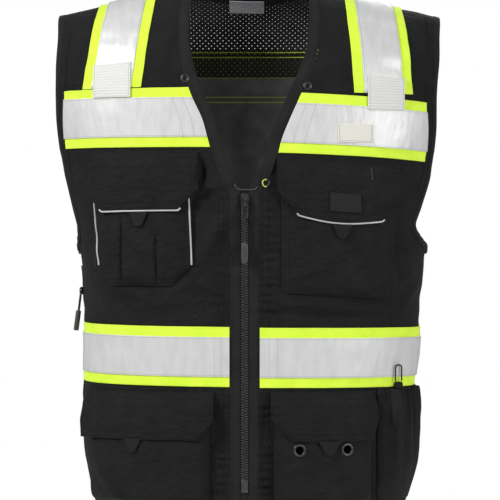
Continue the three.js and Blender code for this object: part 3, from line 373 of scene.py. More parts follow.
def uneven(x, y):
    """Smooth noise between -0.5 and 0.5, with one hill or hollow for each unit of x and y."""
    i, j = np.floor(x).astype(int), np.floor(y).astype(int)
    s, t = x - i, y - j
    s, t = s * s * (3 - 2 * s), t * t * (3 - 2 * t)
    i, j, i_next, j_next = i % NOISE_CELLS, j % NOISE_CELLS, (i + 1) % NOISE_CELLS, (j + 1) % NOISE_CELLS
    low = mix(random_heights[i, j], random_heights[i_next, j], s)
    high = mix(random_heights[i, j_next], random_heights[i_next, j_next], s)
    return mix(low, high, t) - 0.5


def fold(x, level, middle, half_length, half_breadth, lean):
    """A ridge of height 1 with soft ends."""
    lean = math.radians(lean)
    dx, dz = x - middle[0], level - middle[1]
    beside = (dx * math.cos(lean) - dz * math.sin(lean)) / half_breadth
    lengthwise = (dx * math.sin(lean) + dz * math.cos(lean)) / half_length
    return np.exp(-beside * beside - lengthwise * lengthwise)


def inside_of(value, low, high, soft):
    """1 between low and high, and 0 outside them, with soft edges."""
    up = np.clip((value - low) / soft + 0.5, 0, 1)
    down = np.clip((high - value) / soft + 0.5, 0, 1)
    return up * up * (3 - 2 * up) * down * down * (3 - 2 * down)


def fold_lift(x, level, front):
    """How far folds and puckers lift the cloth, damped under the stiff bands."""
    lift = np.zeros(np.broadcast(x, level).shape)
    for face, at_x, at, length, width, height, lean in BROAD_FOLDS:
        middle = at_x * BODY_HALF_WIDTH, -at * VEST_LENGTH
        sizes = length * VEST_LENGTH, width * BODY_HALF_WIDTH
        ridge = height * FOLD_DEPTH * fold(x, level, middle, *sizes, lean)
        lift = lift + np.where(front == (face > 0), ridge, 0)
    free = 1 - BAND_STIFFNESS * sum(inside_of(level, low, high, SOFT_END) for low, high in BAND_LEVELS)
    for face, at_x, at, length, width, height, lean in FINE_FOLDS:
        ridge = FINE_STRENGTH * height * fold(x, level, (at_x, at), length, width, lean)
        lift = lift + np.where(front == (face > 0), ridge * free, 0)
    for middle, width, top, foot, spacing, height in PUCKERS:
        drift = 2.2 * uneven(level * 90 + 5, x * 60)
        wave = np.sin(2 * math.pi * level / spacing + drift) * (0.6 + uneven(level * 70, x * 50))
        near = np.exp(-(((x - middle) / width) ** 2)) * inside_of(level, foot, top, SOFT_END)
        lift = lift + np.where(front, FINE_STRENGTH * height * wave * near, 0)
    side = np.where(front, 0.0, 37.0)
    rumple = 0.0034 * uneven(x * 16 + side, level * 24)
    rumple = rumple + 0.0015 * uneven(x * 42 + level * 22, level * 64 + side)
    return lift + rumple * free


def skin(turn, level, lift=0.0):
    """The point of a turn and a level, lifted off the cloth's outer face."""
    turn, level = np.broadcast_arrays(np.asarray(turn, float), np.asarray(level, float))
    front = np.cos(turn) > 0
    x = half_width(turn, level) * power(np.sin(turn), 2 / RING_POWER)
    share = np.maximum(0, 1 + level / SHOULDER_RISE)
    y = -depth_of(front, level) * power(np.cos(turn), 2 / RING_POWER) * np.sqrt(1 - share * share)
    z = np.where(share > 0, mix(-SHOULDER_RISE, roof(x), share), level)
    point = np.stack([x, y, z], axis=-1)
    height = np.asarray(lift) + fold_lift(x, level, front)
    return point + outward(point) * np.broadcast_to(height, x.shape)[..., None]


def turn_at(x, level, front=True):
    """The turn of a place with a given x, on the front or the back."""
    share = np.clip(np.abs(x) / half_width(x, level), 0, 1)
    turn = np.arcsin(share ** (RING_POWER / 2))
    return np.sign(x) * (turn if front else math.pi - turn)


def on_front(x, level, lift=0.0):
    x, level = np.broadcast_arrays(np.asarray(x, float), np.asarray(level, float))
    return skin(turn_at(x, level), level, lift)


print("front middle at the waist:", on_front(0.0, -0.45).round(4))

# %% [markdown]
# ## Edges of the cloth
#
# The front panels run from the V and the zip to the armhole and the side seam. The edge tables give those
# lines as shares of the neck's and the armhole's size.

# %% Edge lines
ZIP_X = -0.0055
CHAIN_WIDTH = 0.009
CHAIN_GAP = 0.0005
PLACKET_WIDTH = 0.012
ZIP_TOP = -NECK_DEPTH
ZIP_FOOT = HEM + 0.02
FACING_WIDTH = 0.0125
BINDING_WIDTH = 0.0065
EDGE_GAP = 0.0007
MESH_DEPTH = 0.11
SIGNS = {"right": -1, "left": 1}


def front_edge_turn(side, level):
    sign = SIGNS[side]
    level = np.asarray(level, float)
    below = ZIP_X + sign * (CHAIN_WIDTH / 2 + CHAIN_GAP + PLACKET_WIDTH + SEAM_GAP)
    above = sign * NECK_HALF_WIDTH * along(NECK_EDGE, side, -level / NECK_DEPTH)
    return np.abs(turn_at(np.where(level > ZIP_TOP, above, below), level))


def side_edge_turn(side, level):
    level = np.asarray(level, float)
    seam = (SEAM_GAP / 2 / FRONT_DEPTH) ** (RING_POWER / 2)
    opening = np.where(level > -ARMHOLE_DEPTH, along(ARM_EDGE, side, -level / ARMHOLE_DEPTH), 0)
    return QUARTER - np.maximum(np.arcsin(opening ** (RING_POWER / 2)), seam)


RIDGE = -SHOULDER_RISE * (1 - math.sqrt(1 - (SEAM_GAP / FRONT_DEPTH) ** 2))


def bow_of(level):
    """A level's place on the rounding of the shoulders, as an angle from the ridge."""
    return np.arccos(np.clip(1 + np.asarray(level) / SHOULDER_RISE, 0, 1))


def level_of(bow):
    return -SHOULDER_RISE * (1 - np.cos(bow))


def body_levels(over, below, foot=HEM):
    """Rows of a panel: even steps over the shoulder's rounding, then even steps down."""
    rounded = level_of(np.linspace(bow_of(RIDGE), QUARTER, over))
    return np.concatenate([rounded, np.linspace(-SHOULDER_RISE, foot, below)[1:]])


def back_turn(u, level):
    right = 2 * QUARTER - side_edge_turn("right", level)
    left = 2 * QUARTER - side_edge_turn("left", level)
    return np.where(u < 0.5, -mix(right, math.pi, u * 2), mix(left, math.pi, 2 - u * 2))


def neck_turn_back(side):
    x = SIGNS[side] * NECK_HALF_WIDTH * NECK_EDGE[0][side]
    return abs(float(turn_at(x, RIDGE, False)))


def back_neck_level(turn):
    """The level of the back's neckline at a turn past the side."""
    start = np.where(np.asarray(turn) < 0, neck_turn_back("right"), neck_turn_back("left"))
    share = np.clip((np.abs(turn) - start) / (math.pi - start), 0, 1)
    return mix(RIDGE, -BACK_NECK_DEPTH, np.sin(share * QUARTER) ** 0.7)


print("turn of the side seam at the waist:", float(side_edge_turn("left", -0.45)))


# %% [markdown]
# ## Building cloth
#
# A sheet of cloth starts as a grid of points on the surface. The same grid, moved inwards by the cloth's
# thickness, makes its lining face, and a rim closes the two. Solidify could do this, but then the rim of a
# flap would be sharp. Here the grid's border rolls over a little, as a turned edge does. The UV map holds
# real lengths in metres, so that a weave keeps its size on every piece.

# %% Shell builder
sheet_areas = {}


def spread(count, size, roll=0.0):
    """Shares from 0 to 1, with extra ones near both ends for a rolled edge."""
    if not roll:
        return np.linspace(0, 1, count)
    near = np.array([0, 0.12, 0.4, 0.8]) * roll / size
    end = roll * 1.4 / size
    return np.concatenate([near, np.linspace(end, 1 - end, count), 1 - near[::-1]])


def grid_normals(points):
    across = np.gradient(points, axis=1)
    down = np.gradient(points, axis=0)
    normal = np.cross(across, down)
    normal /= np.maximum(np.linalg.norm(normal, axis=-1, keepdims=True), 1e-12)
    middle = points.shape[0] // 2, points.shape[1] // 2
    if np.dot(normal[middle], outward(points[middle])) < 0:
        normal = -normal
    return normal


def running(points, axis):
    steps = np.linalg.norm(np.diff(points, axis=axis), axis=-1)
    pad = [(1, 0), (0, 0)] if axis == 0 else [(0, 0), (1, 0)]
    return np.pad(np.cumsum(steps, axis=axis), pad)


def rim_closed(front, count):
    """A sheet's quads, the same quads turned over on the points count further on, and the rim between."""
    directed = np.concatenate([front[:, [k, (k + 1) % 4]] for k in range(4)])
    _, first, times = np.unique(np.sort(directed), axis=0, return_index=True, return_counts=True)
    rim = directed[first[times == 1]]
    sides = np.stack([rim[:, 1], rim[:, 0], rim[:, 0] + count, rim[:, 1] + count], axis=-1)
    return np.concatenate([front, front[:, ::-1] + count, sides])


def make_mesh(name, positions, faces, material, uv=None, sharp=45):
    """A smooth-shaded mesh whose edges stay crisp where faces meet at more than the sharp angle."""
    mesh = bpy.data.meshes.new(name)
    mesh.from_pydata(positions.tolist(), [], faces)
    if uv is not None:
        layer = mesh.uv_layers.new(name="cloth")
        corners = np.empty(len(mesh.loops), dtype=np.int32)
        mesh.loops.foreach_get("vertex_index", corners)
        layer.data.foreach_set("uv", uv[corners].astype(np.float32).ravel())
    mesh.materials.append(material)
    mesh.shade_smooth()
    mesh.set_sharp_from_angle(angle=math.radians(sharp))
    return linked(name, mesh)


def shell(name, outer, wall, material, roll=0.0, keep=None):
    """A closed sheet of cloth whose outer face is the grid of points. keep drops some of its cells."""
    high, wide = outer.shape[:2]
    normal = grid_normals(outer)
    u, v = running(outer, 1), running(outer, 0)
    if roll:
        edge = np.minimum.reduce([u, u[:, -1:] - u, v, v[-1:, :] - v])
        share = 1 - np.clip(edge / roll, 0, 1)
        outer = outer - normal * (roll * (1 - np.sqrt(1 - share**2)))[..., None]
    inner = outer - normal * wall
    if roll:
        inner = inner + normal * (0.5 * roll * (1 - np.sqrt(1 - share**2)))[..., None]
    index = np.arange(high * wide).reshape(high, wide)
    a, b, c, d = index[:-1, :-1], index[1:, :-1], index[1:, 1:], index[:-1, 1:]
    quads = np.stack([a, b, c, d], axis=-1)
    kept = np.ones(quads.shape[:2], bool) if keep is None else keep
    positions = np.concatenate([outer.reshape(-1, 3), inner.reshape(-1, 3)])
    faces = rim_closed(quads[kept], high * wide)
    p = positions[faces[:, :3]]
    if np.einsum("ij,ij->i", p[:, 0], np.cross(p[:, 1], p[:, 2])).sum() < 0:
        faces = faces[:, ::-1]
    middle_u = u - u[:, wide // 2 : wide // 2 + 1]
    uv = np.stack([middle_u, -v], axis=-1).reshape(-1, 2)
    used_points = np.unique(faces)
    renumber = np.zeros(len(positions), int)
    renumber[used_points] = np.arange(len(used_points))
    uv = np.concatenate([uv, uv])[used_points]
    made = make_mesh(name, positions[used_points], renumber[faces].tolist(), material, uv)
    cells = np.cross(outer[1:, 1:] - outer[:-1, :-1], outer[1:, :-1] - outer[:-1, 1:])
    area = float(np.linalg.norm(cells, axis=-1)[kept].sum() / 2)
    sheet_areas[name] = (float(u[:, -1].max()), float(v[-1].max()), area)
    return made


# %% Bars and cords
def soft_rectangle(left, right, low, high, radius):
    """The corners of a section with rounded corners, as [beside, above]."""
    made = []
    for x, y, start in [(right, high, 0), (left, high, 90), (left, low, 180), (right, low, 270)]:
        for turn in (0, 30, 60, 90):
            angle = math.radians(start + turn)
            inward = (radius if x == left else -radius), (radius if y == low else -radius)
            made.append((x + inward[0] + radius * math.cos(angle), y + inward[1] + radius * math.sin(angle)))
    return np.array(made)


def turned_out(made):
    """The object, with its faces turned outwards."""
    work = bmesh.new()
    work.from_mesh(made.data)
    bmesh.ops.recalc_face_normals(work, faces=work.faces)
    work.to_mesh(made.data)
    work.free()
    return made


def swept(name, rings, material, sharp=50):
    """A closed tube through rings of points, with flat ends. Its UV map runs along it and round it."""
    count, sides = rings.shape[:2]
    positions = rings.reshape(-1, 3)
    index = np.arange(count * sides).reshape(count, sides)
    following = np.roll(index, -1, axis=1)
    quads = np.stack([index[:-1], following[:-1], following[1:], index[1:]], axis=-1).reshape(-1, 4)
    faces = quads.tolist() + [index[0][::-1].tolist(), index[-1].tolist()]
    lengthwise = running(rings.mean(axis=1, keepdims=True), 0)
    around = running(np.concatenate([rings, rings[:, :1]], axis=1), 1)[:, :-1]
    uv = np.stack([around, np.broadcast_to(lengthwise, around.shape)], axis=-1).reshape(-1, 2)
    return turned_out(make_mesh(name, positions, faces, material, uv, sharp))


def round_section(radius):
    angles = np.linspace(0, 2 * math.pi, 10, endpoint=False)
    return radius * np.stack([np.cos(angles), np.sin(angles)], axis=-1)


def smooth_line(points, rounds):
    """Softens the corners of a line, and keeps its two ends."""
    for _ in range(rounds):
        points = np.concatenate([points[:1], (points[:-2] + 2 * points[1:-1] + points[2:]) / 4, points[-1:]])
    return points


def sides_of(path):
    """The directions out of the cloth and to the right of a path, as seen from outside."""
    up = outward(path)
    sideways = np.cross(np.gradient(path, axis=0), up)
    return up, sideways / np.linalg.norm(sideways, axis=-1, keepdims=True)


def beside_line(line, beside, lift):
    """A line on the cloth, to the right of another as seen from outside."""
    up, sideways = sides_of(line)
    return line + sideways * beside + up * np.reshape(lift, (-1, 1))


def bar(name, path, section, material, swell=None):
    """A bar along a path on the cloth. Beside is to the right of the path, as seen from outside."""
    up, sideways = sides_of(path)
    size = np.ones(len(path)) if swell is None else swell
    rings = path[:, None] + sideways[:, None] * section[None, :, :1]
    rings = rings + up[:, None] * section[None, :, 1:] * size[:, None, None]
    return swept(name, rings, material)


def tube(name, path, radius, material, sides=12):
    """A round cord along a path in space."""
    path = np.asarray(path, float)
    ahead = np.gradient(path, axis=0)
    ahead /= np.linalg.norm(ahead, axis=-1, keepdims=True)
    across = np.cross(ahead[0], [0.31, 0.22, 0.93])
    frames = []
    for direction in ahead:
        across = across - direction * np.dot(across, direction)
        across = across / np.linalg.norm(across)
        frames.append((across, np.cross(direction, across)))
    angles = np.linspace(0, 2 * math.pi, sides, endpoint=False)
    rings = [
        point + radius * (np.cos(angles)[:, None] * a + np.sin(angles)[:, None] * b)
        for point, (a, b) in zip(path, frames)
    ]
    return swept(name, np.array(rings), material)


def join(name, pieces):
    """Joins pieces into one object."""
    bpy.ops.object.select_all(action="DESELECT")
    for piece in pieces:
        piece.select_set(True)
    bpy.context.view_layer.objects.active = pieces[0]
    bpy.ops.object.join()
    pieces[0].name = name
    pieces[0].data.name = name
    return pieces[0]


def place(piece, body, slot, *nodes):
    """Says which body a piece moves with and which solids it stands for. slot, its finish, is not used."""
    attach(piece, body)
    if nodes:
        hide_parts(*nodes)
    return piece


def declare(piece):
    """Prints the flat size that a sheet of cloth was cut to, and its area."""
    width, length, area = sheet_areas[piece.name]
    area = min(area, width * length)
    print(piece.name, "flat", round(width, 3), "x", round(length, 3), "m, area", round(area, 4))


# %% [markdown]
# ## Materials
#
# The vest is nearly black, and only its weave, its folds and its finishes tell the pieces apart. Each
# cloth reads its UV map in metres: fine ribs are a wave texture, unevenness is noise, and both go into the
# bump as well as the colour. The bright ribbon is a saturated yellow green, the tape a dull silver.

# %% Weaves
def finish_of(name, colour, roughness, **fixed):
    """A new material with its principled shader, whose other numbers are set on its own sockets."""
    material = bpy.data.materials.new(name)
    material.use_nodes = True
    tree = material.node_tree
    shader = tree.nodes["Principled BSDF"]
    shader.inputs["Base Color"].default_value = (*colour, 1)
    shader.inputs["Roughness"].default_value = roughness
    for socket, value in fixed.items():
        shader.inputs[socket.replace("_", " ")].default_value = value
    return material, tree, shader


def pattern_place(tree, turn=0.0, uv=True, stretch=(1, 1, 1)):
    """The place that a pattern reads: the piece's UV map in metres, or the object itself."""
    if uv:
        source = add(tree, "ShaderNodeUVMap", uv_map="cloth").outputs["UV"]
    else:
        source = add(tree, "ShaderNodeTexCoord").outputs["Object"]
    rotation = (0, 0, math.radians(turn))
    made = add(tree, "ShaderNodeMapping", {"Vector": source, "Rotation": rotation, "Scale": stretch})
    return made.outputs["Vector"]


def ribs(tree, place, pitch, distortion=0.4):
    """Fine parallel ribs that repeat every pitch along the place's x."""
    wave = {"Vector": place, "Scale": 2 * math.pi / 20 / pitch, "Distortion": distortion, "Detail Scale": 3.0}
    return add(tree, "ShaderNodeTexWave", wave, bands_direction="X").outputs["Fac"]


def noise(tree, place, size, detail=3.0):
    made = add(tree, "ShaderNodeTexNoise", {"Vector": place, "Scale": 1 / size, "Detail": detail})
    return made.outputs["Fac"]


def tint(tree, shader, factor, low, high, start, end):
    """Colours the shader between two colours, as the factor goes from start to end."""
    ramp = add(tree, "ShaderNodeValToRGB", {"Fac": factor})
    for element, position, colour in zip(ramp.color_ramp.elements, (start, end), (low, high)):
        element.position = position
        element.color = (*colour, 1)
    tree.links.new(ramp.outputs["Color"], shader.inputs["Base Color"])


def bumped(tree, shader, *layers):
    """Stacks bumps of (height, distance in metres, strength) under the shader."""
    normal = None
    for height, distance, strength in layers:
        inputs = {"Height": height, "Distance": distance, "Strength": strength}
        if normal:
            inputs["Normal"] = normal
        normal = add(tree, "ShaderNodeBump", inputs).outputs["Normal"]
    tree.links.new(normal, shader.inputs["Normal"])


def twill(name, dark, light, pitch=0.0009, sheen=0.02, crumple=0.5):
    """Twill: steep fine ribs, worn a little lighter in soft clouds, and crumpled."""
    material, tree, shader = finish_of(name, dark, 0.78, Sheen_Weight=sheen, Specular_IOR_Level=0.22)
    steep = ribs(tree, pattern_place(tree, 27), pitch)
    cross = ribs(tree, pattern_place(tree, 90), pitch * 0.55, 0.8)
    cloud = noise(tree, pattern_place(tree), 0.03, 5.0)
    fibre = noise(tree, pattern_place(tree, 0, True, (1, 0.15, 1)), 0.0006, 2.0)
    weave = maths(tree, "ADD", steep, maths(tree, "MULTIPLY", cross, 0.35))
    worn = maths(tree, "ADD", cloud, maths(tree, "MULTIPLY", fibre, 0.45))
    tint(tree, shader, worn, dark, light, 0.45, 1.0)
    crease = noise(tree, pattern_place(tree, 20, True, (1, 1.7, 1)), 0.011, 4.0)
    bumped(tree, shader, (crease, 0.008, crumple), (weave, 0.00022, 0.6))
    return material


black_twill = twill("black_twill", (0.0040, 0.0040, 0.0042), (0.0096, 0.0096, 0.0098))
pocket_twill = twill("pocket_twill", (0.0043, 0.0043, 0.0046), (0.0104, 0.0104, 0.0106), crumple=0.65)
edge_tape = twill("edge_tape", (0.0078, 0.0075, 0.0072), (0.0160, 0.0156, 0.0150), 0.0013, 0.03, 0.2)
mesh_knit = twill("mesh_knit", (0.024, 0.024, 0.023), (0.042, 0.042, 0.040), 0.0007, 0.03, 0.0)
olive_webbing = twill("olive_webbing", (0.006, 0.006, 0.005), (0.013, 0.013, 0.010), 0.0016, 0.02, 0.1)
# Painted light: the lining's grey is far lighter than its own near black, to stand for light inside the vest.
lining_painted_light = twill("lining_painted_light", (0.12, 0.112, 0.116), (0.26, 0.24, 0.25), 0.0016, 0.02, 0.1)
cord_braid = twill("cord_braid", (0.016, 0.016, 0.016), (0.045, 0.045, 0.045), 0.0012, 0.05, 0.1)


# %% Bright and reflective finishes
def ribbon_finish():
    """The bright ribbon: a dense fluorescent weave with fine cross ribs, and a faint painted glow of its own
    colour.
    """
    colour = (0.64, 0.87, 0.05)
    material, tree, shader = finish_of("bright_ribbon", colour, 0.75, Sheen_Weight=0.1)
    across = ribs(tree, pattern_place(tree, 90), 0.0011)
    cloud = noise(tree, pattern_place(tree), 0.02)
    mixed = maths(tree, "ADD", maths(tree, "MULTIPLY", across, 0.25), cloud)
    tint(tree, shader, mixed, (0.58, 0.83, 0.02), (0.74, 0.97, 0.06), 0.3, 0.9)
    # Painted glow: a faint emission in the ribbon's own colour brightens it beyond what the lamps give.
    shader.inputs["Emission Color"].default_value = (*colour, 1)
    shader.inputs["Emission Strength"].default_value = 0.08
    bumped(tree, shader, (across, 0.0001, 0.4))
    return material


def tape_finish():
    """Reflective tape: millions of glass beads on cloth, dull silver, with soft creases and a faint weave.
    Its colour darkens in the creases' hollows, a painted shade.
    """
    material, tree, shader = finish_of("silver_tape", (0.66, 0.66, 0.65), 0.42, Metallic=0.15)
    crease = noise(tree, pattern_place(tree, 12, True, (1.6, 0.6, 1)), 0.02, 5.0)
    fine = noise(tree, pattern_place(tree), 0.0012, 2.0)
    weave = ribs(tree, pattern_place(tree, 45), 0.0008, 0.2)
    mixed = maths(tree, "ADD", crease, maths(tree, "MULTIPLY", fine, 0.3))
    # Painted shade: the colour follows the crease bump, darker in its hollows, with a little fine unevenness.
    tint(tree, shader, mixed, (0.60, 0.60, 0.59), (0.72, 0.72, 0.71), 0.4, 0.95)
    bumped(tree, shader, (crease, 0.0022, 0.5), (weave, 0.00005, 0.3))
    return material


def ribbed_finish():
    """The loops' pale ribbed webbing."""
    material, tree, shader = finish_of("ribbed_loop", (0.74, 0.73, 0.70), 0.6)
    fine = noise(tree, pattern_place(tree), 0.001, 2.0)
    tint(tree, shader, fine, (0.66, 0.655, 0.63), (0.80, 0.79, 0.77), 0.3, 0.8)
    bumped(tree, shader, (ribs(tree, pattern_place(tree, 90), 0.0016), 0.0003, 0.5))
    return material


bright_ribbon = ribbon_finish()
silver_tape = tape_finish()
ribbed_loop = ribbed_finish()


# %% Plain small finishes
def grained(name, low, high, roughness, grain, depth, uv=False, **fixed):
    """A finish with a fine grain in its colour and its bump."""
    material, tree, shader = finish_of(name, low, roughness, **fixed)
    speck = noise(tree, pattern_place(tree, 0, uv), grain, 3.0)
    tint(tree, shader, speck, low, high, 0.35, 0.75)
    bumped(tree, shader, (speck, depth, 0.5))
    return material


grey_piping = grained(
    "grey_piping", (0.42, 0.43, 0.44), (0.55, 0.56, 0.57), 0.4, 0.0008, 0.0001, Metallic=0.2
)
pull_rubber = grained(
    "pull_rubber", (0.006, 0.006, 0.006), (0.012, 0.012, 0.012), 0.8, 0.0009, 0.0001, Specular_IOR_Level=0.25
)
grip_rubber = grained("grip_rubber", (0.045, 0.045, 0.044), (0.075, 0.075, 0.073), 0.45, 0.0012, 0.0002)
# Painted highlight: the rim's grey is a lighter tint of the dark edge tape, standing for the light along the
# roll.
rolled_rim = grained("rolled_rim", (0.050, 0.050, 0.048), (0.095, 0.095, 0.09), 0.5, 0.0008, 0.0001)
zip_plastic = grained("zip_plastic", (0.030, 0.030, 0.030), (0.075, 0.075, 0.073), 0.25, 0.002, 0.00005)
dark_metal = grained(
    "dark_metal", (0.05, 0.05, 0.052), (0.15, 0.15, 0.15), 0.22, 0.003, 0.00004, Metallic=0.9
)
ring_metal = grained(
    "ring_metal", (0.04, 0.04, 0.04), (0.11, 0.11, 0.11), 0.35, 0.002, 0.00004, Metallic=0.8
)
cream_patch = grained("cream_patch", (0.72, 0.70, 0.62), (0.80, 0.78, 0.70), 0.6, 0.0015, 0.00008, True)
label_satin = grained("label_satin", (0.42, 0.42, 0.44), (0.52, 0.52, 0.55), 0.4, 0.004, 0.0003, True)
loop_pile = grained("loop_pile", (0.006, 0.006, 0.006), (0.016, 0.016, 0.016), 0.95, 0.0007, 0.0009, True)
dark_thread = grained(
    "dark_thread", (0.004, 0.004, 0.004), (0.011, 0.011, 0.011), 0.8, 0.0006, 0.0001, Specular_IOR_Level=0.1
)
lime_thread = grained("lime_thread", (0.52, 0.72, 0.05), (0.66, 0.88, 0.08), 0.6, 0.0006, 0.0001)
grey_thread = grained("grey_thread", (0.22, 0.22, 0.21), (0.34, 0.34, 0.33), 0.7, 0.0006, 0.0001)
print("materials:", len(bpy.data.materials))

# %% [markdown]
# ## Stitches
#
# Thread rows hold the vest together and show its scale. Each seam is noted as a line of points on the
# cloth with the direction out of it. A Geometry Nodes tree turns all the lines of one colour into curves,
# steps along them by the pitch and sets a small oval stitch at each step, laid along the seam.

# %% Seams are noted while the pieces are made
seams = {"dark": [], "lime": [], "grey": [], "cover": []}


def sew(thread, points, side=1):
    """Notes a row of stitches on the cloth's outer face, or on its inner one when side is -1."""
    seams[thread].append((np.asarray(points), side))


def node_group(name, inputs):
    """A Geometry Nodes tree with a geometry in and out, and its inputs of the given kinds."""
    tree = bpy.data.node_groups.new(name, "GeometryNodeTree")
    face = tree.interface
    for socket, kind in {"Geometry": "Geometry", **inputs}.items():
        face.new_socket(socket, in_out="INPUT", socket_type="NodeSocket" + kind)
    face.new_socket("Geometry", in_out="OUTPUT", socket_type="NodeSocketGeometry")
    return tree, add(tree, "NodeGroupInput").outputs


def finish_group(tree, geometry, material):
    """Ends a tree: the geometry gets its material and goes out."""
    done = add(tree, "GeometryNodeSetMaterial", {"Geometry": geometry, "Material": material}).outputs[0]
    add(tree, "NodeGroupOutput", {"Geometry": done})
    return tree


def set_along(tree, entry, thing, axis):
    """Sets a thing at each step of the pitch along the lines, with its axis along them."""
    curve = add(tree, "GeometryNodeMeshToCurve", {"Mesh": entry["Geometry"]}).outputs["Curve"]
    steps = add(tree, "GeometryNodeResampleCurve", {"Curve": curve, "Length": entry["Pitch"]}, mode="LENGTH")
    up = add(tree, "GeometryNodeInputNamedAttribute", {"Name": "out"}, data_type="FLOAT_VECTOR")
    tangent = add(tree, "GeometryNodeInputTangent").outputs[0]
    axes = {"Primary Axis": tangent, "Secondary Axis": up.outputs["Attribute"]}
    laid = add(tree, "FunctionNodeAxesToRotation", axes, primary_axis=axis, secondary_axis="Z").outputs[0]
    inputs = {"Points": steps.outputs["Curve"], "Instance": thing, "Rotation": laid}
    return add(tree, "GeometryNodeInstanceOnPoints", inputs).outputs["Instances"]


def realized(tree, geometry):
    return add(tree, "GeometryNodeRealizeInstances", {"Geometry": geometry}).outputs[0]


def stitch_tree(material):
    """A row of oval stitches along each line."""
    tree, entry = node_group("stitches", {"Pitch": "Float", "Length": "Float", "Width": "Float"})
    ball = add(tree, "GeometryNodeMeshUVSphere", {"Segments": 6, "Rings": 4, "Radius": 0.5}).outputs["Mesh"]
    high = maths(tree, "MULTIPLY", entry["Width"], 0.8)
    sizes = {"X": entry["Length"], "Y": entry["Width"], "Z": high}
    size = add(tree, "ShaderNodeCombineXYZ", sizes).outputs[0]
    oval = add(tree, "GeometryNodeTransform", {"Geometry": ball, "Scale": size}).outputs[0]
    return finish_group(tree, realized(tree, set_along(tree, entry, oval, "X")), material)


def run_tree(name, carrier, tree, **values):
    """Gives the carrier the tree, sets its named inputs, and returns the result as a plain mesh piece."""
    modifier = carrier.modifiers.new("made", "NODES")
    modifier.node_group = tree
    for item in tree.interface.items_tree:
        if item.item_type == "SOCKET" and item.in_out == "INPUT" and item.name in values:
            modifier[item.identifier] = values[item.name]
    graph = bpy.context.evaluated_depsgraph_get()
    mesh = bpy.data.meshes.new_from_object(carrier.evaluated_get(graph))
    mesh.name = name
    bpy.data.objects.remove(carrier)
    print(name, len(mesh.polygons), "faces")
    return linked(name, mesh)


def line_carrier(lines):
    """A mesh of open polylines with the direction out of the cloth at each point."""
    points, outs, edges = [], [], []
    for line, side in lines:
        start = len(points)
        points += line.tolist()
        outs += (side * outward(line)).tolist()
        edges += [(start + k, start + k + 1) for k in range(len(line) - 1)]
    mesh = bpy.data.meshes.new("lines")
    mesh.from_pydata(points, edges, [])
    layer = mesh.attributes.new("out", "FLOAT_VECTOR", "POINT")
    layer.data.foreach_set("vector", np.array(outs, np.float32).ravel())
    return linked("lines", mesh)


# %% [markdown]
# ## Panels
#
# Two front panels and the solid part of the back are dark twill. Along the hem the cloth is turned up
# and sewn, so the last 20 mm is double. Each panel is one sheet over its frame solid.

# %% Front panels and back panel
HEM_TURN = 0.02
HEM_SEAMS = (0.018, 0.0205)  # above the hem


def hem_lift(level):
    """The turned-up hem's extra thickness."""
    return 0.0005 * np.clip((HEM + HEM_TURN - level) / 0.002, 0, 1)


def panel_points(side):
    levels = body_levels(26, 212)
    columns = np.linspace(0, 1, 104)
    start = front_edge_turn(side, levels)[:, None]
    end = side_edge_turn(side, levels)[:, None]
    turn = SIGNS[side] * mix(start, end, columns[None])
    return skin(turn, levels[:, None], hem_lift(levels)[:, None])


for side in ("right", "left"):
    panel = shell("front_cloth_" + side, panel_points(side), CLOTH_WALL, black_twill)
    place(panel, "vest", "shell_cloth", "front_panel_" + side)
    declare(panel)
    hem_line = np.linspace(0.03, 0.99, 120)
    for rise in HEM_SEAMS:
        level = HEM + rise
        turns = mix(front_edge_turn(side, level), side_edge_turn(side, level), hem_line)
        sew("dark", skin(SIGNS[side] * turns, level, 0.0006))

top_levels = np.linspace(-MESH_DEPTH - SEAM_GAP, -SHOULDER_RISE, 14)
back_levels = np.concatenate([top_levels, np.linspace(-SHOULDER_RISE, HEM, 200)[1:]])
back_turns = back_turn(np.linspace(0, 1, 150)[None], back_levels[:, None])
back_points = skin(back_turns, back_levels[:, None], hem_lift(back_levels)[:, None])
back_cloth = shell("back_cloth", back_points, CLOTH_WALL, black_twill)

# The back's inner face is a knitted lining, painted much lighter than the dark cloth as painted light for the
# inside of the vest, where the lamps reach little.
back_cloth.data.materials.append(lining_painted_light)
centres = np.array([face.center for face in back_cloth.data.polygons])
facing_way = np.array([face.normal for face in back_cloth.data.polygons])
inner_side = (outward(centres) * facing_way).sum(axis=1) < -0.2
back_cloth.data.polygons.foreach_set("material_index", inner_side.astype(np.int32))
place(back_cloth, "vest", "shell_cloth", "back_panel")
declare(back_cloth)
for rise in HEM_SEAMS:
    sew("dark", skin(back_turn(np.linspace(0.01, 0.99, 220), HEM + rise), HEM + rise, 0.0006))
seam_levels = np.linspace(-0.36, HEM + 0.004, 160)
for sign in (-1, 1):
    for beside in (0.006, 0.0085):
        turn = QUARTER + (beside / FRONT_DEPTH) ** (RING_POWER / 2)
        sew("dark", skin(np.full(160, sign * turn), seam_levels, 0.0003))

# %% [markdown]
# ## Mesh yoke
#
# The top of the back is a warp-knitted mesh with small round holes in staggered rows. A Geometry Nodes tree
# lays one ringed cell on each place of a brick pattern and welds the cells into a flat net. The flat net
# is then laid on the shoulders like real cloth, by its distance along and round the back, and cut where
# the facing and the bindings will hide its edge.

# %% Net in the flat
HOLE_PITCH = 0.0078
ROW_PITCH = 0.0036
HOLE_RADIUS = 0.00058
NET_WALL = 0.0007
NET_SLACK = 0.004  # how far the net runs on under the facing and the bindings
BACK_ROUNDING = 0.13  # mean radius of the shoulders' rounding


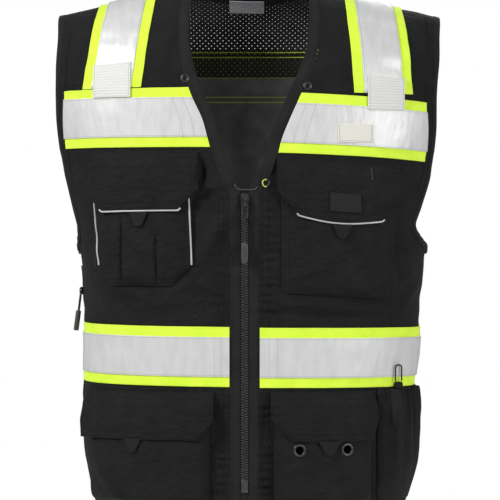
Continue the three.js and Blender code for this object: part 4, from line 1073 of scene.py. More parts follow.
def net_cell():
    """A brick with a round hole: twelve points round its edge, joined to a ring of twelve."""
    wide, high = HOLE_PITCH / 2, ROW_PITCH / 2
    outer = [(wide, 0), (wide, high), (wide / 2, high), (0, high), (-wide / 2, high), (-wide, high)]
    outer = outer + [(-x, -y) for x, y in outer]
    angles = [math.pi * k / 6 for k in range(12)]
    ring = [(HOLE_RADIUS * math.cos(angle), HOLE_RADIUS * math.sin(angle)) for angle in angles]
    mesh = bpy.data.meshes.new("net_cell")
    points = [(x, y, 0) for x, y in outer + ring]
    faces = [(k, (k + 1) % 12, 12 + (k + 1) % 12, 12 + k) for k in range(12)]
    mesh.from_pydata(points, [], faces)
    return linked("net_cell", mesh)


def line_of(tree, count, offset):
    """A row of points, each at its own offset."""
    line = add(tree, "GeometryNodeMeshLine", {"Count": count}).outputs[0]
    return add(tree, "GeometryNodeSetPosition", {"Geometry": line, "Position": offset}).outputs[0]


def net_tree(material):
    """Rows of cells in a brick pattern, welded into one flat net."""
    kinds = {"Cell": "Object", "Columns": "Int", "Rows": "Int", "Pitch": "Float", "Row Pitch": "Float"}
    tree, entry = node_group("net", kinds)
    index = add(tree, "GeometryNodeInputIndex").outputs[0]
    drop = maths(tree, "MULTIPLY", index, entry["Row Pitch"])
    odd = maths(tree, "MODULO", index, 2.0)
    half = maths(tree, "MULTIPLY", odd, maths(tree, "MULTIPLY", entry["Pitch"], 0.5))
    start = add(tree, "ShaderNodeCombineXYZ", {"X": half, "Y": drop}).outputs[0]
    across = maths(tree, "MULTIPLY", index, entry["Pitch"])
    step = add(tree, "ShaderNodeCombineXYZ", {"X": across}).outputs[0]
    grid = {"Points": line_of(tree, entry["Rows"], start), "Instance": line_of(tree, entry["Columns"], step)}
    places = realized(tree, add(tree, "GeometryNodeInstanceOnPoints", grid).outputs[0])
    cell = add(tree, "GeometryNodeObjectInfo", {"Object": entry["Cell"]}).outputs["Geometry"]
    cells = add(tree, "GeometryNodeInstanceOnPoints", {"Points": places, "Instance": cell}).outputs[0]
    weld = {"Geometry": realized(tree, cells), "Distance": 0.00005}
    return finish_group(tree, add(tree, "GeometryNodeMergeByDistance", weld).outputs[0], material)


FOOT_BOW = float(bow_of(-MESH_DEPTH))
NET_WIDTH = 0.60
net_columns = int(NET_WIDTH / HOLE_PITCH)
net_rows = int(FOOT_BOW * BACK_ROUNDING / ROW_PITCH) + 2
cell = net_cell()
net_sizes = {"Cell": cell, "Columns": net_columns, "Rows": net_rows}
net_sizes.update({"Pitch": HOLE_PITCH, "Row Pitch": ROW_PITCH})
carrier = linked("carrier", bpy.data.meshes.new("carrier"))
flat_net = run_tree("flat_net", carrier, net_tree(mesh_knit), **net_sizes)
bpy.data.objects.remove(cell)


# %% Net on the shoulders
def lay_net(flat):
    """Lays the flat net on the back, cuts it to the yoke's outline and gives it its thickness."""
    count = len(flat.data.vertices)
    points = np.empty(count * 3)
    flat.data.vertices.foreach_get("co", points)
    points = points.reshape(-1, 3)
    turns = np.linspace(QUARTER * 0.9, math.pi, 300)
    ring = skin(turns, -0.08)
    round_back = running(ring[None], 1)[0]
    round_back = round_back[-1] - round_back
    beside = points[:, 0] - HOLE_PITCH * net_columns / 2
    turn = math.pi - np.interp(np.abs(beside), round_back[::-1], (math.pi - turns)[::-1])
    sign = np.where(beside < 0, -1, 1)
    bow = FOOT_BOW - points[:, 1] / BACK_ROUNDING
    level = level_of(np.clip(bow, 0.004, FOOT_BOW))
    edges = (math.pi - side_edge_turn(side, level) for side in ("right", "left"))
    past_arm = np.where(sign < 0, *edges) - turn > NET_SLACK / BACK_DEPTH
    past_neck = bow_of(back_neck_level(sign * turn)) - bow > NET_SLACK / BACK_ROUNDING
    past = past_arm | past_neck | (bow > FOOT_BOW + 0.01) | (bow < -0.01)
    faces = np.array([tuple(p.vertices) for p in flat.data.polygons])
    kept = faces[~past[faces].any(axis=1)]
    turn = sign * turn
    used = np.unique(kept)
    renumber = np.zeros(count, int)
    renumber[used] = np.arange(len(used))
    outer = skin(turn, level, -0.0002)[used]
    normal = outward(outer)
    both = np.concatenate([outer, outer - normal * NET_WALL])
    front = renumber[kept]
    faces = rim_closed(front, len(used))
    p = outer[front[:, :3]]
    facing_out = np.cross(p[:, 1] - p[:, 0], p[:, 2] - p[:, 0]) * normal[front[:, 0]]
    if facing_out.sum() < 0:
        faces = faces[:, ::-1]
    uv = np.stack([beside, -points[:, 1]], axis=-1)[used]
    made = make_mesh("mesh_yoke", both, faces.tolist(), mesh_knit, np.concatenate([uv, uv]), 60)
    bpy.data.objects.remove(flat)
    print("holes in the yoke:", len(kept) // 12)
    wide, long = np.ptp(np.stack([beside, points[:, 1]], axis=-1)[used], axis=0)
    one_side = sum(face.area for face in made.data.polygons) / 2
    sheet_areas["mesh_yoke"] = (float(wide), float(long), one_side)
    return made


declare(place(lay_net(flat_net), "vest", "mesh_cloth", "back_mesh"))

# %% [markdown]
# ## Facing and bindings
#
# A doubled strip of twill tape closes the raw edge of the V and of the neck, and a narrower binding closes
# each armhole. Both are bars swept along the cloth's edge, with a soft rectangle as their section. The
# bars close round the panel's edge, as sewn tape does. Under the arms the binding is bunched by the
# curve, so it swells there.

# %% Neck facing
EDGE_RADIUS = 0.0008
EDGE_OVER = 0.0012  # how far the tape reaches past the cloth's edge


def edge_section(left, right):
    """The section of a tape that is folded round the cloth's edge."""
    return soft_rectangle(left, right, -CLOTH_WALL - EDGE_LIFT, EDGE_LIFT, EDGE_RADIUS)


def neck_path():
    """The cloth's edge: up the right of the V, round the back of the neck and down the left."""
    levels = np.concatenate([body_levels(16, 2)[:-1], np.linspace(-SHOULDER_RISE, ZIP_TOP, 60)])
    right = skin(-front_edge_turn("right", levels), levels)[::-1]
    left = skin(front_edge_turn("left", levels), levels)
    from_right = -np.linspace(neck_turn_back("right"), math.pi, 30)[1:]
    to_left = np.linspace(math.pi, neck_turn_back("left"), 30)[1:-1]
    turns = np.concatenate([from_right, to_left])
    back = skin(turns, back_neck_level(turns))
    return smooth_line(np.concatenate([right, back, left]), 3)


neck_line = neck_path()
foot = np.clip((-0.235 - neck_line[:, 2]) / 0.04, 0, 1) ** 2
thinning = 1 - foot * np.where(neck_line[:, 0] < ZIP_X, 0.35, 0.85)
facing_section = edge_section(-EDGE_OVER, EDGE_GAP + FACING_WIDTH)
facing = bar("facing", neck_line, facing_section, edge_tape, thinning)
place(facing, "vest", "edging_cloth", "neck_facing")
for beside in (0.0022, 0.0112):
    sew("dark", beside_line(neck_line, beside * thinning[:, None], EDGE_LIFT)[4:-4])


# %% Arm bindings
ARM_SEAMS = (0.012, 0.0142)  # from the edge, in the panels


def bunching(line, side):
    """How much the binding swells: soft rolls under the arm."""
    depth = -line[:, 2] / ARMHOLE_DEPTH
    low = np.clip((depth - 0.90) / 0.08, 0, 1)
    rolls = 0.5 + 0.5 * np.cos(line[:, 1] * 2 * math.pi / 0.011 + (1 if side == "left" else 2.2))
    return 1 + low * (1.6 + 2.4 * rolls)


arm_levels = np.concatenate([body_levels(18, 2)[:-1], np.linspace(-SHOULDER_RISE, -ARMHOLE_DEPTH, 70)])
for side in ("right", "left"):
    sign = SIGNS[side]
    fore = skin(sign * side_edge_turn(side, arm_levels), arm_levels)
    rear = skin(sign * (math.pi - side_edge_turn(side, arm_levels)), arm_levels)
    line = smooth_line(np.concatenate([fore, rear[::-1]]), 2)
    reach = EDGE_GAP + BINDING_WIDTH
    section = edge_section(-EDGE_OVER, reach) if sign < 0 else edge_section(-reach, EDGE_OVER)
    binding = bar("binding_" + side, line, section, edge_tape, bunching(line, side))
    place(binding, "vest", "edging_cloth", "arm_binding_" + side)
    sew("dark", beside_line(line, -sign * 0.0016, EDGE_LIFT * bunching(line, side)))
    for inset in ARM_SEAMS:
        seam = beside_line(line, sign * inset, 0.0002)
        sew("dark", seam[4:62])
        sew("dark", seam[-62:-4])

# %% [markdown]
# ## The front zip
#
# Two plackets of doubled cloth lie beside the moulded zip. Its teeth are small blocks that alternate from
# one tape to the other: a Geometry Nodes tree sets them along the chain's middle line. The slider, its
# bridge and the hanging tab are the frame's own solids with rounded edges.

# %% Plackets and zip tape
PLACKET_RISE = 0.0048  # above the top of the zip
ZIP_TAPE_HALF = 0.0065
PANEL_SEAMS = {"right": (0.0262, 0.0320), "left": (0.0225, 0.0300)}  # from the zip's middle line


def strip(name, near, far, levels, lift, wall, material, roll=0.0, columns=9):
    """A flat strip of the front between two distances from the middle line."""
    shares = spread(columns, abs(far - near), roll)
    x = mix(near, far, shares)[None]
    points = on_front(x, levels[:, None], lift)
    return shell(name, points, wall, material, roll)


def sew_down(x, top, lift):
    """Notes a row of stitches down the front, to the hem."""
    sew("dark", on_front(np.full(180, x), np.linspace(top, HEM + 0.002, 180), lift))


placket_levels = np.linspace(ZIP_TOP + PLACKET_RISE, HEM + 0.0005, 220)
for side in ("right", "left"):
    sign = SIGNS[side]
    near = ZIP_X + sign * (CHAIN_WIDTH / 2 + CHAIN_GAP)
    far = near + sign * (PLACKET_WIDTH + 0.001)
    piece = strip("placket_" + side, near, far, placket_levels, EDGE_LIFT, 0.003, edge_tape, 0.0007)
    place(piece, "vest", "shell_cloth", "zip_placket_" + side)
    for beside in (0.0018, 0.0106):
        sew_down(near + sign * beside, ZIP_TOP - 0.002, EDGE_LIFT)
    for beside in PANEL_SEAMS[side]:
        sew_down(ZIP_X + sign * beside, ZIP_TOP - 0.004, 0.0002)

tape_levels = np.linspace(ZIP_TOP + PLACKET_RISE, HEM + 0.001, 200)
tape_ends = ZIP_X - ZIP_TAPE_HALF, ZIP_X + ZIP_TAPE_HALF
zip_tape = strip("zip_tape", *tape_ends, tape_levels, -0.0006, 0.0009, edge_tape)
place(zip_tape, "vest", "edging_cloth")

# A thin rolled edge closes the top of the zip. Its colour is a lighter tint of the dark tape, a painted
# highlight along the roll.
rim_places = [(-0.0180, -0.2630), (-0.0162, -0.2672), (-0.0125, -0.2698), (-0.0060, -0.2704)]
rim_places += [(0.0020, -0.2703), (0.0075, -0.2696), (0.0102, -0.2668)]
rim = np.array(rim_places)
rim_steps = np.linspace(0, len(rim) - 1, 40)
rim_x, rim_level = (np.interp(rim_steps, range(len(rim)), rim[:, k]) for k in (0, 1))
rim_line = smooth_line(on_front(rim_x, rim_level, EDGE_LIFT + 0.0003), 3)
place(tube("rolled_rim", rim_line, 0.0007, rolled_rim, 8), "vest", "edging_cloth")


# %% Zip teeth
def rounded_block(name, size, middle, offset, segments):
    """A block with rounded edges."""
    work = bmesh.new()
    bmesh.ops.create_cube(work, size=1)
    for vertex in work.verts:
        vertex.co = [at + share * length for at, share, length in zip(middle, vertex.co, size)]
    bmesh.ops.bevel(work, geom=list(work.edges), offset=offset, segments=segments, affect="EDGES")
    mesh = bpy.data.meshes.new(name)
    work.to_mesh(mesh)
    work.free()
    return linked(name, mesh)


def teeth_tree(material):
    """Sets a tooth at each step of the line, by turns on one side of it and on the other."""
    tree, entry = node_group("teeth", {"Tooth": "Object", "Pitch": "Float", "Offset": "Float"})
    tooth = add(tree, "GeometryNodeObjectInfo", {"Object": entry["Tooth"]}).outputs["Geometry"]
    rows = set_along(tree, entry, tooth, "Y")
    turn = maths(tree, "MODULO", add(tree, "GeometryNodeInputIndex").outputs[0], 2.0)
    beside = maths(tree, "MULTIPLY", maths(tree, "SUBTRACT", turn, 0.5), entry["Offset"])
    shift = add(tree, "ShaderNodeCombineXYZ", {"X": beside}).outputs[0]
    moved = {"Instances": rows, "Translation": shift}
    moved = add(tree, "GeometryNodeTranslateInstances", moved).outputs[0]
    return finish_group(tree, realized(tree, moved), material)


TOOTH_SIZE = (0.0046, 0.0019, 0.0026)
TOOTH_PITCH = 0.0016
tooth = rounded_block("tooth", TOOTH_SIZE, (0, 0, 0), 0.0004, 1)
chain_levels = np.linspace(ZIP_TOP - 0.002, ZIP_FOOT + 0.012, 300)
chain_line = on_front(np.full(300, ZIP_X), chain_levels)
chain_sizes = {"Tooth": tooth, "Pitch": TOOTH_PITCH, "Offset": 0.0044}
chain = line_carrier([(chain_line, 1)])
teeth = run_tree("zip_chain_teeth", chain, teeth_tree(zip_plastic), **chain_sizes)
place(teeth, "vest", "zip_teeth", "zip_chain")


# %% Rounded copies of hard solids
def rounded_copy(name, node, offset, material, segments=3):
    """A copy of a frame solid, welded, with its edges rounded."""
    work = bmesh.new()
    work.from_mesh(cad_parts[node].data)
    bmesh.ops.remove_doubles(work, verts=work.verts, dist=0.00002)
    bmesh.ops.dissolve_limit(work, angle_limit=math.radians(8), verts=work.verts, edges=work.edges)
    sharp = [e for e in work.edges if len(e.link_faces) == 2 and e.calc_face_angle() > math.radians(20)]
    rounding = {"offset": offset, "segments": segments, "profile": 0.6}
    bmesh.ops.bevel(work, geom=sharp, affect="EDGES", clamp_overlap=True, **rounding)
    bmesh.ops.triangulate(work, faces=[f for f in work.faces if len(f.verts) > 4])
    mesh = bpy.data.meshes.new(name)
    work.to_mesh(mesh)
    work.free()
    mesh.materials.clear()
    mesh.materials.append(material)
    mesh.shade_smooth()
    mesh.set_sharp_from_angle(angle=math.radians(40))
    return linked(name, mesh)


place(rounded_copy("slider", "zip_slider", 0.0005, dark_metal), "vest", "zip_metal", "zip_slider")
place(rounded_copy("pull_tab", "zip_tab", 0.0004, dark_metal), "zip_pull", "zip_metal", "zip_tab")


def ribbed_grip(name, node, material):
    """The moulded grip: its frame solid, rounded, with a row of shallow ribs across it."""
    grip = rounded_copy(name, node, 0.0012, material, 4)
    low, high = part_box(node)
    middle, half = (low[0] + high[0]) / 2, (high[0] - low[0]) * 0.36
    cross_ribs = []
    for k in range(5):
        level = mix(low[2], high[2], 0.22 + 0.13 * k)
        path = [(middle + half * share, low[1] + 0.00005, level) for share in np.linspace(-1, 1, 9)]
        cross_ribs.append(tube(name + "_rib", path, 0.0006, material, 8))
    return join(name, [grip, *cross_ribs])


def twisted_cord(name, start, end, width, material, turns):
    """Two strands laid round each other between two points."""
    start, end = np.array(start), np.array(end)
    share = np.linspace(0, 1, 12 * turns + 1)[:, None]
    down = (end - start) / np.linalg.norm(end - start)
    a = np.cross(down, [0, 1, 0])
    a /= np.linalg.norm(a)
    b = np.cross(down, a)
    strands = []
    for shift in (0, math.pi):
        angle = 2 * math.pi * turns * share + shift
        path = mix(start, end, share) + width / 4 * (np.cos(angle) * a + np.sin(angle) * b)
        strands.append(tube(name + "_strand", path, width / 4, material, 10))
    return join(name, strands)


low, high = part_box("zip_pull_cord")
middle = (low[0] + high[0]) / 2, (low[1] + high[1]) / 2
cord_ends = (*middle, high[2] + 0.001), (*middle, low[2] - 0.001)
cord = twisted_cord("pull_cord", *cord_ends, 0.0042, cord_braid, 5)
place(cord, "zip_pull", "black_cord", "zip_pull_cord")
place(ribbed_grip("pull_grip", "zip_pull_grip", grip_rubber), "zip_pull", "pull_rubber", "zip_pull_grip")

box_levels = np.linspace(ZIP_FOOT + 0.016, ZIP_FOOT, 14)
box_ends = ZIP_X - CHAIN_WIDTH / 2, ZIP_X + CHAIN_WIDTH / 2
end_box = strip("zip_end_box", *box_ends, box_levels, 0.0026, 0.0034, zip_plastic, 0.001)
place(end_box, "vest", "zip_teeth")

# %% [markdown]
# ## Reflective bands
#
# A band is a bright ribbon 75 mm wide with a silver tape of 50 mm sewn along its middle. Both are strips
# of the same surface at a greater lift. Bright thread holds the ribbon's edges, grey thread the tape's.

# %% Bands
RIBBON_WIDTH = 0.075
TAPE_WIDTH = 0.05
RIBBON_WALL = 0.001
TAPE_WALL = 0.0014
RIBBON_LIFT = 0.0018
TAPE_LIFT = 0.0033
PATCH_LIFT = 0.0048
LAYER_GAP = 0.0008
END_GAP = 0.0015
TAPE_SHARE = (RIBBON_WIDTH - TAPE_WIDTH) / 2 / RIBBON_WIDTH
CHEST_SIDE_GAP = 0.010
CHEST_LENGTH = 0.16  # about, along one front
WAIST_LENGTH = 0.25
SIDE_ZIP_WIDTH = 0.007
CHEST_TOP = {"right": (-0.142, -0.141), "left": (-0.149, -0.158)}
WAIST_RISE = {"right": (0.227, 0.230), "left": (0.226, 0.224)}
BACK_CHEST_TOP = -0.074
BACK_WAIST_RISE = 0.228


def sew_band(names, nodes, ribbon_points, tape_points, row):
    """A ribbon and its tape from their points, with stitches. row(share, lift) runs along the band."""
    ribbon = shell(names[0], ribbon_points, RIBBON_WALL, bright_ribbon, 0.0006)
    tape = shell(names[1], tape_points, TAPE_WALL, silver_tape, 0.0005)
    place(ribbon, "vest", "bright_ribbon", nodes[0])
    place(tape, "vest", "reflective_tape", nodes[1])
    for share in (0.022, 0.978):
        sew("lime", row(share, RIBBON_LIFT))
    for share in (TAPE_SHARE + 0.024, 1 - TAPE_SHARE - 0.024):
        sew("grey", row(share, TAPE_LIFT))


def across_tape(count):
    """Shares of the ribbon's width that the tape covers, with extra ones at its edges."""
    return mix(TAPE_SHARE, 1 - TAPE_SHARE, spread(count, TAPE_WIDTH, 0.0006))


def band(names, columns, at, nodes):
    """A level ribbon and its tape. at(u, v, lift) is a point of the band."""
    u = np.linspace(0, 1, columns)[None]
    v = spread(30, RIBBON_WIDTH, 0.0006)[:, None]
    line = np.linspace(0.004, 0.996, columns * 2)

    def row(share, lift):
        return at(line, np.full(len(line), share), lift)

    sew_band(names, nodes, at(u, v, RIBBON_LIFT), at(u, across_tape(24)[:, None], TAPE_LIFT), row)


def sew_across(at, shares):
    """Rows of stitches across the tape, near the band's inner end."""
    v = np.linspace(TAPE_SHARE + 0.01, 1 - TAPE_SHARE - 0.01, 40)
    for share in shares:
        sew("grey", at(np.full(40, share), v, TAPE_LIFT))


def chest_band(side):
    sign = SIGNS[side]
    inner, outer = CHEST_TOP[side]
    inset = END_GAP / half_width(sign, inner)

    def at(u, v, lift):
        level = mix(inner, outer, u) - v * RIBBON_WIDTH
        start = front_edge_turn(side, level) + inset
        end = side_edge_turn(side, level) - CHEST_SIDE_GAP / FRONT_DEPTH
        return skin(sign * mix(start, end, u), level, lift)

    nodes = "chest_ribbon_" + side, "chest_tape_" + side
    band(("chest_bright_" + side, "chest_silver_" + side), 110, at, nodes)
    sew_across(at, (0.0085 / CHEST_LENGTH, 0.0175 / CHEST_LENGTH))


def side_inset(side):
    clear = SIDE_ZIP_WIDTH / 2 + END_GAP if side == "right" else END_GAP / 2
    return (clear / FRONT_DEPTH) ** (RING_POWER / 2)


def waist_band(side):
    sign = SIGNS[side]
    inner, outer = (HEM + rise for rise in WAIST_RISE[side])
    start = ZIP_X + sign * (CHAIN_WIDTH / 2 + CHAIN_GAP + PLACKET_WIDTH + SEAM_GAP + END_GAP)

    def at(u, v, lift):
        level = mix(inner, outer, u) - v * RIBBON_WIDTH
        near = np.abs(turn_at(start, level))
        return skin(sign * mix(near, QUARTER - side_inset(side), u), level, lift)

    nodes = "waist_ribbon_" + side, "waist_tape_" + side
    band(("waist_bright_" + side, "waist_silver_" + side), 120, at, nodes)
    sew_across(at, (0.0065 / WAIST_LENGTH, 0.0125 / WAIST_LENGTH))


def back_band(name, top, ends):
    """A band round the back, between two turns that ends(level) gives."""

    def at(u, v, lift):
        level = top - v * RIBBON_WIDTH + 0 * u
        right, left = ends(level)
        turn = np.where(u < 0.5, mix(right, -math.pi, u * 2), mix(math.pi, left, u * 2 - 1))
        return skin(turn, level, lift)

    nodes = "back_" + name + "_ribbon", "back_" + name + "_tape"
    band(("back_" + name + "_bright", "back_" + name + "_silver"), 160, at, nodes)


def chest_ends(level):
    right, left = (math.pi - side_edge_turn(side, level) + END_GAP / BACK_DEPTH for side in SIGNS)
    return -right, left


def waist_ends(level):
    return -(QUARTER + side_inset("right")) + 0 * level, QUARTER + side_inset("left") + 0 * level


SHOULDER_LINE = {"right": (0.702, 0.63, 0.66), "left": (0.687, 0.648, 0.66)}


def shoulder_band(side):
    """Over the shoulder from the front's chest band to the back's. Its rows turn over at the ridge."""
    sign = SIGNS[side]
    foot, top, rear = (sign * share * SHOULDER_HALF_WIDTH for share in SHOULDER_LINE[side])
    front_foot = max(CHEST_TOP[side]) + LAYER_GAP
    rear_foot = BACK_CHEST_TOP + LAYER_GAP
    front_bows = np.linspace(float(bow_of(front_foot)), float(bow_of(RIDGE)), 60)
    back_bows = np.linspace(float(bow_of(RIDGE)), float(bow_of(rear_foot)), 44)[1:]
    rows = [(True, float(level_of(b))) for b in front_bows] + [(False, float(level_of(b))) for b in back_bows]

    def at(u, v, lift):
        u, v = np.broadcast_arrays(np.asarray(u, float), np.asarray(v, float))
        k = v * (len(rows) - 1)
        points = np.zeros((*u.shape, 3))
        levels = np.interp(k, range(len(rows)), [level for _, level in rows])
        front = k < len(front_bows) - 0.5
        middle = np.where(front, mix(top, foot, levels / front_foot), mix(top, rear, levels / rear_foot))
        x = middle + sign * (u - 0.5) * RIBBON_WIDTH
        points[front] = skin(turn_at(x[front], levels[front]), levels[front], lift)
        points[~front] = skin(turn_at(x[~front], levels[~front], False), levels[~front], lift)
        return points

    u = spread(26, RIBBON_WIDTH, 0.0006)[None]
    v = np.linspace(0, 1, len(rows))[:, None]
    line = np.linspace(0.004, 0.996, 200)

    def row(share, lift):
        return at(np.full(200, share), line, lift)

    names = "shoulder_bright_" + side, "shoulder_silver_" + side
    nodes = "shoulder_ribbon_" + side, "shoulder_tape_" + side
    sew_band(names, nodes, at(u, v, RIBBON_LIFT), at(across_tape(22)[None], v, TAPE_LIFT), row)


for side in ("right", "left"):
    shoulder_band(side)
    chest_band(side)
    waist_band(side)
back_band("chest", BACK_CHEST_TOP, chest_ends)
back_band("waist", HEM + BACK_WAIST_RISE, waist_ends)

# Inside the back, bright thread shows where the yoke, the back panel and the band are sewn together.
INSIDE_END = 2.25
from_right = -np.linspace(INSIDE_END, math.pi, 80)
inside_turns = np.concatenate([from_right, np.linspace(math.pi, INSIDE_END, 80)[1:]])
for level in (-0.0765, -0.0830, -0.1365, -0.1435):
    sew("cover", skin(inside_turns, level, -CLOTH_WALL - 0.0012), -1)
sew("lime", skin(inside_turns, -0.1105, -CLOTH_WALL - 0.0008), -1)

# %% [markdown]
# ## Pockets
#
# A pocket is a patch of cloth that bulges off the vest: its lift grows fast at the sewn sides and leans
# out below the mouth. Pleats are narrow grooves in that lift. A flap is a second patch, sewn above the
# mouth, that rises to the mouth and lies on the pocket, with a turned edge and two rows of stitches.

# %% Pocket shapes
body_seams = len(seams["dark"])
FLAP_WALL = 0.0012
FLAP_SEWN = 0.014
FLAP_EDGE = 0.58  # share of a pocket's height above which its relief stays low under the flap
CHEST_RIGHT = {"inner": -0.070, "outer": -0.195, "top": -0.236, "height": 0.154, "tilt": 0, "chamfer": 0.027}
CHEST_RIGHT.update({"bulge": 0.007, "mouth": 0.5, "steep": 6, "pleats": (0.347, 0.686), "wrinkle": 0.0028})
CHEST_LEFT = {**CHEST_RIGHT, "inner": 0.040, "outer": 0.183, "top": -0.244, "tilt": -0.010, "chamfer": 0.006}
CHEST_LEFT["pleats"] = ()
LOWER_TOP = 0.132
LOWER_RIGHT = {"inner": -0.049, "outer": -0.196, "top": HEM + LOWER_TOP, "height": LOWER_TOP - 0.004}
LOWER_RIGHT.update({"tilt": 0, "chamfer": 0.003, "bulge": 0.015, "mouth": 0.45, "steep": 14})
LOWER_RIGHT.update({"pleats": (), "wrinkle": 0.0028})
LOWER_LEFT = {**LOWER_RIGHT, "inner": 0.031, "outer": 0.152}
FLAP_CHEST_RIGHT = {"pocket": CHEST_RIGHT, "overhang": 0.007, "drop": 0.072, "chamfer": 0.024, "round": 0}
FLAP_CHEST_LEFT = {"pocket": CHEST_LEFT, "overhang": 0.005, "drop": 0.069, "chamfer": 0.027, "round": 0.006}
FLAP_LOWER_RIGHT = {"pocket": LOWER_RIGHT, "overhang": 0.005, "drop": 0.059, "chamfer": 0.022, "round": 0}
FLAP_LOWER_LEFT = {"pocket": LOWER_LEFT, "overhang": 0.004, "drop": 0.060, "chamfer": 0.026, "round": 0.002}
# The lower flaps' outer corners are cut less, by this share of the chamfer.
FLAP_LOWER_RIGHT["outer_cut"] = 0.2
FLAP_LOWER_LEFT["outer_cut"] = 0.3


def width_of(pocket):
    return abs(pocket["outer"] - pocket["inner"])


def cut_corners(u, v, width, height, chamfer, outer_cut=1.0):
    """The share across a patch whose lower corners are cut off."""
    cut = np.maximum(0, v * height - height + chamfer) / width
    return mix(cut, 1 - cut * outer_cut, u)


def round_route(side, top, foot, down_steps, across_steps):
    """A row down one side of a patch, along its foot and up the other side, in shares of its size."""
    down, across = np.linspace(top, 1 - foot, down_steps), np.linspace(side, 1 - side, across_steps)
    u = np.concatenate([np.full(down_steps, side), across, np.full(down_steps, 1 - side)])
    v = np.concatenate([down, np.full(across_steps, 1 - foot), down[::-1]])
    return u, v


def pocket_lift(pocket, u, v):
    across = 1 - np.abs(2 * u - 1) ** pocket["steep"]
    lean = mix(pocket["mouth"], 1, np.clip(2 * v, 0, 1))
    foot = 1 - np.clip(2 * v - 1, 0, 1) ** pocket["steep"]
    return LAYER_GAP + FLAP_WALL + pocket["bulge"] * across * lean * foot


def pocket_share(pocket, u, v):
    return cut_corners(u, v, width_of(pocket), pocket["height"], pocket["chamfer"])


def pocket_place(pocket, u, v):
    share = pocket_share(pocket, u, v)
    x = mix(pocket["inner"], pocket["outer"], share)
    return x, pocket["top"] + pocket["tilt"] * share - v * pocket["height"]


def pocket_relief(pocket, u, v):
    """Pleats and wrinkles on a pocket's front, none at its sewn edges."""
    inside = (1 - np.abs(2 * u - 1) ** 8) * (1 - np.clip(2 * v - 1, 0, 1) ** 8)
    seed = pocket["inner"] * 900
    bumps = uneven(u * 4.2 + seed, v * 5.5 + u * 1.5) * 1.2 + uneven(u * 9 + v * 4, v * 11 + seed) * 0.5
    relief = pocket["wrinkle"] * bumps
    for pleat in pocket["pleats"]:
        side = 1 if pleat > 0.5 else -1
        beside = (pocket_share(pocket, u, v) - pleat) * side
        groove = -0.0034 * np.exp(-((beside / 0.012) ** 2))
        step = 0.0018 * np.clip(0.5 - beside / 0.02, 0, 1)
        relief = relief + (groove + step) * np.clip(v * 4, 0.4, 1)
    free_of_flap = np.clip((v - FLAP_EDGE) * 7, 0, 1)
    return np.minimum(relief, mix(0.0006, 0.006, free_of_flap)) * inside


def pocket_points(pocket, u, v, more=0.0):
    x, level = pocket_place(pocket, u, v)
    return on_front(x, level, pocket_lift(pocket, u, v) + pocket_relief(pocket, u, v) + more)


def pocket_grid():
    """Shares across and down a pocket, closer together near its sides and its foot."""
    u = mix((1 - np.cos(np.linspace(0, math.pi, 96))) / 2, np.linspace(0, 1, 96), 0.55)
    v = np.concatenate([np.linspace(0, 0.5, 34), 0.5 + 0.5 * np.sin(np.linspace(0, QUARTER, 50)[1:])])
    return u[None], v[:, None]


def pocket(name, sizes, node, keep=None):
    """A pocket of cloth with two rows of stitches round its sides and foot."""
    made = shell(name, pocket_points(sizes, *pocket_grid()), FLAP_WALL, pocket_twill, 0.0005, keep)
    place(made, "vest", "shell_cloth", node)
    declare(made)
    for gap in (0.0035, 0.009):
        u, v = round_route(gap / width_of(sizes), 0.02, gap / sizes["height"], 70, 60)
        sew("dark", pocket_points(sizes, u, v, 0.0001))


pocket("chest_pocket_cloth_right", CHEST_RIGHT, "chest_pocket_right")
pocket("chest_pocket_cloth_left", CHEST_LEFT, "chest_pocket_left")
pocket("lower_pocket_cloth_right", LOWER_RIGHT, "lower_pocket_right")

# %% [markdown]
# The left lower pocket has two grommets just below its flap. Each is a metal ring with a real hole: the
# cells of the pocket's cloth inside the ring are left out, and the ring is a turned profile.

# %% Grommets
GROMMET_SPACING = 0.057
GROMMET_DROP = 0.0115
GROMMET_HOLE = 0.005
GROMMET_RADIUS = 0.0083
GROMMET_MIDDLE = 0.485  # share across the pocket, half way between the two
grommet_v = (FLAP_LOWER_LEFT["drop"] - FLAP_SEWN + GROMMET_DROP) / LOWER_LEFT["height"]
grommet_us = [GROMMET_MIDDLE + sign * GROMMET_SPACING / 2 / width_of(LOWER_LEFT) for sign in (-1, 1)]
grommet_places = [pocket_points(LOWER_LEFT, np.array(u), np.array(grommet_v)) for u in grommet_us]


def outside_rings():
    """Says which cells of the pocket's cloth lie clear of the grommets' holes."""
    points = pocket_points(LOWER_LEFT, *pocket_grid())
    middles = (points[1:, 1:] + points[:-1, :-1] + points[1:, :-1] + points[:-1, 1:]) / 4
    keep = np.ones(middles.shape[:2], bool)
    for centre in grommet_places:
        keep &= np.linalg.norm(middles - centre, axis=-1) > GROMMET_HOLE + 0.0012
    return keep


pocket("lower_pocket_cloth_left", LOWER_LEFT, "lower_pocket_left", outside_rings())


def turned_ring(name, centre, out, profile, material, segments=40):
    """A closed profile of (radius, height) turned about the direction out of the cloth."""
    out = np.asarray(out) / np.linalg.norm(out)
    a = np.cross(out, [0, 0, 1])
    a /= np.linalg.norm(a)
    b = np.cross(out, a)
    angles = np.linspace(0, 2 * math.pi, segments, endpoint=False)
    turned = np.cos(angles)[:, None] * a + np.sin(angles)[:, None] * b
    profile = np.array(profile)
    rings = centre + profile[None, :, :1] * turned[:, None] + profile[None, :, 1:] * out
    sides = len(profile)
    index = np.arange(segments * sides).reshape(segments, sides)
    ahead, beside = np.roll(index, -1, axis=0), np.roll(index, -1, axis=1)
    quads = np.stack([index, beside, np.roll(ahead, -1, axis=1), ahead], axis=-1).reshape(-1, 4)
    return turned_out(make_mesh(name, rings.reshape(-1, 3), quads.tolist(), material, None, 50))


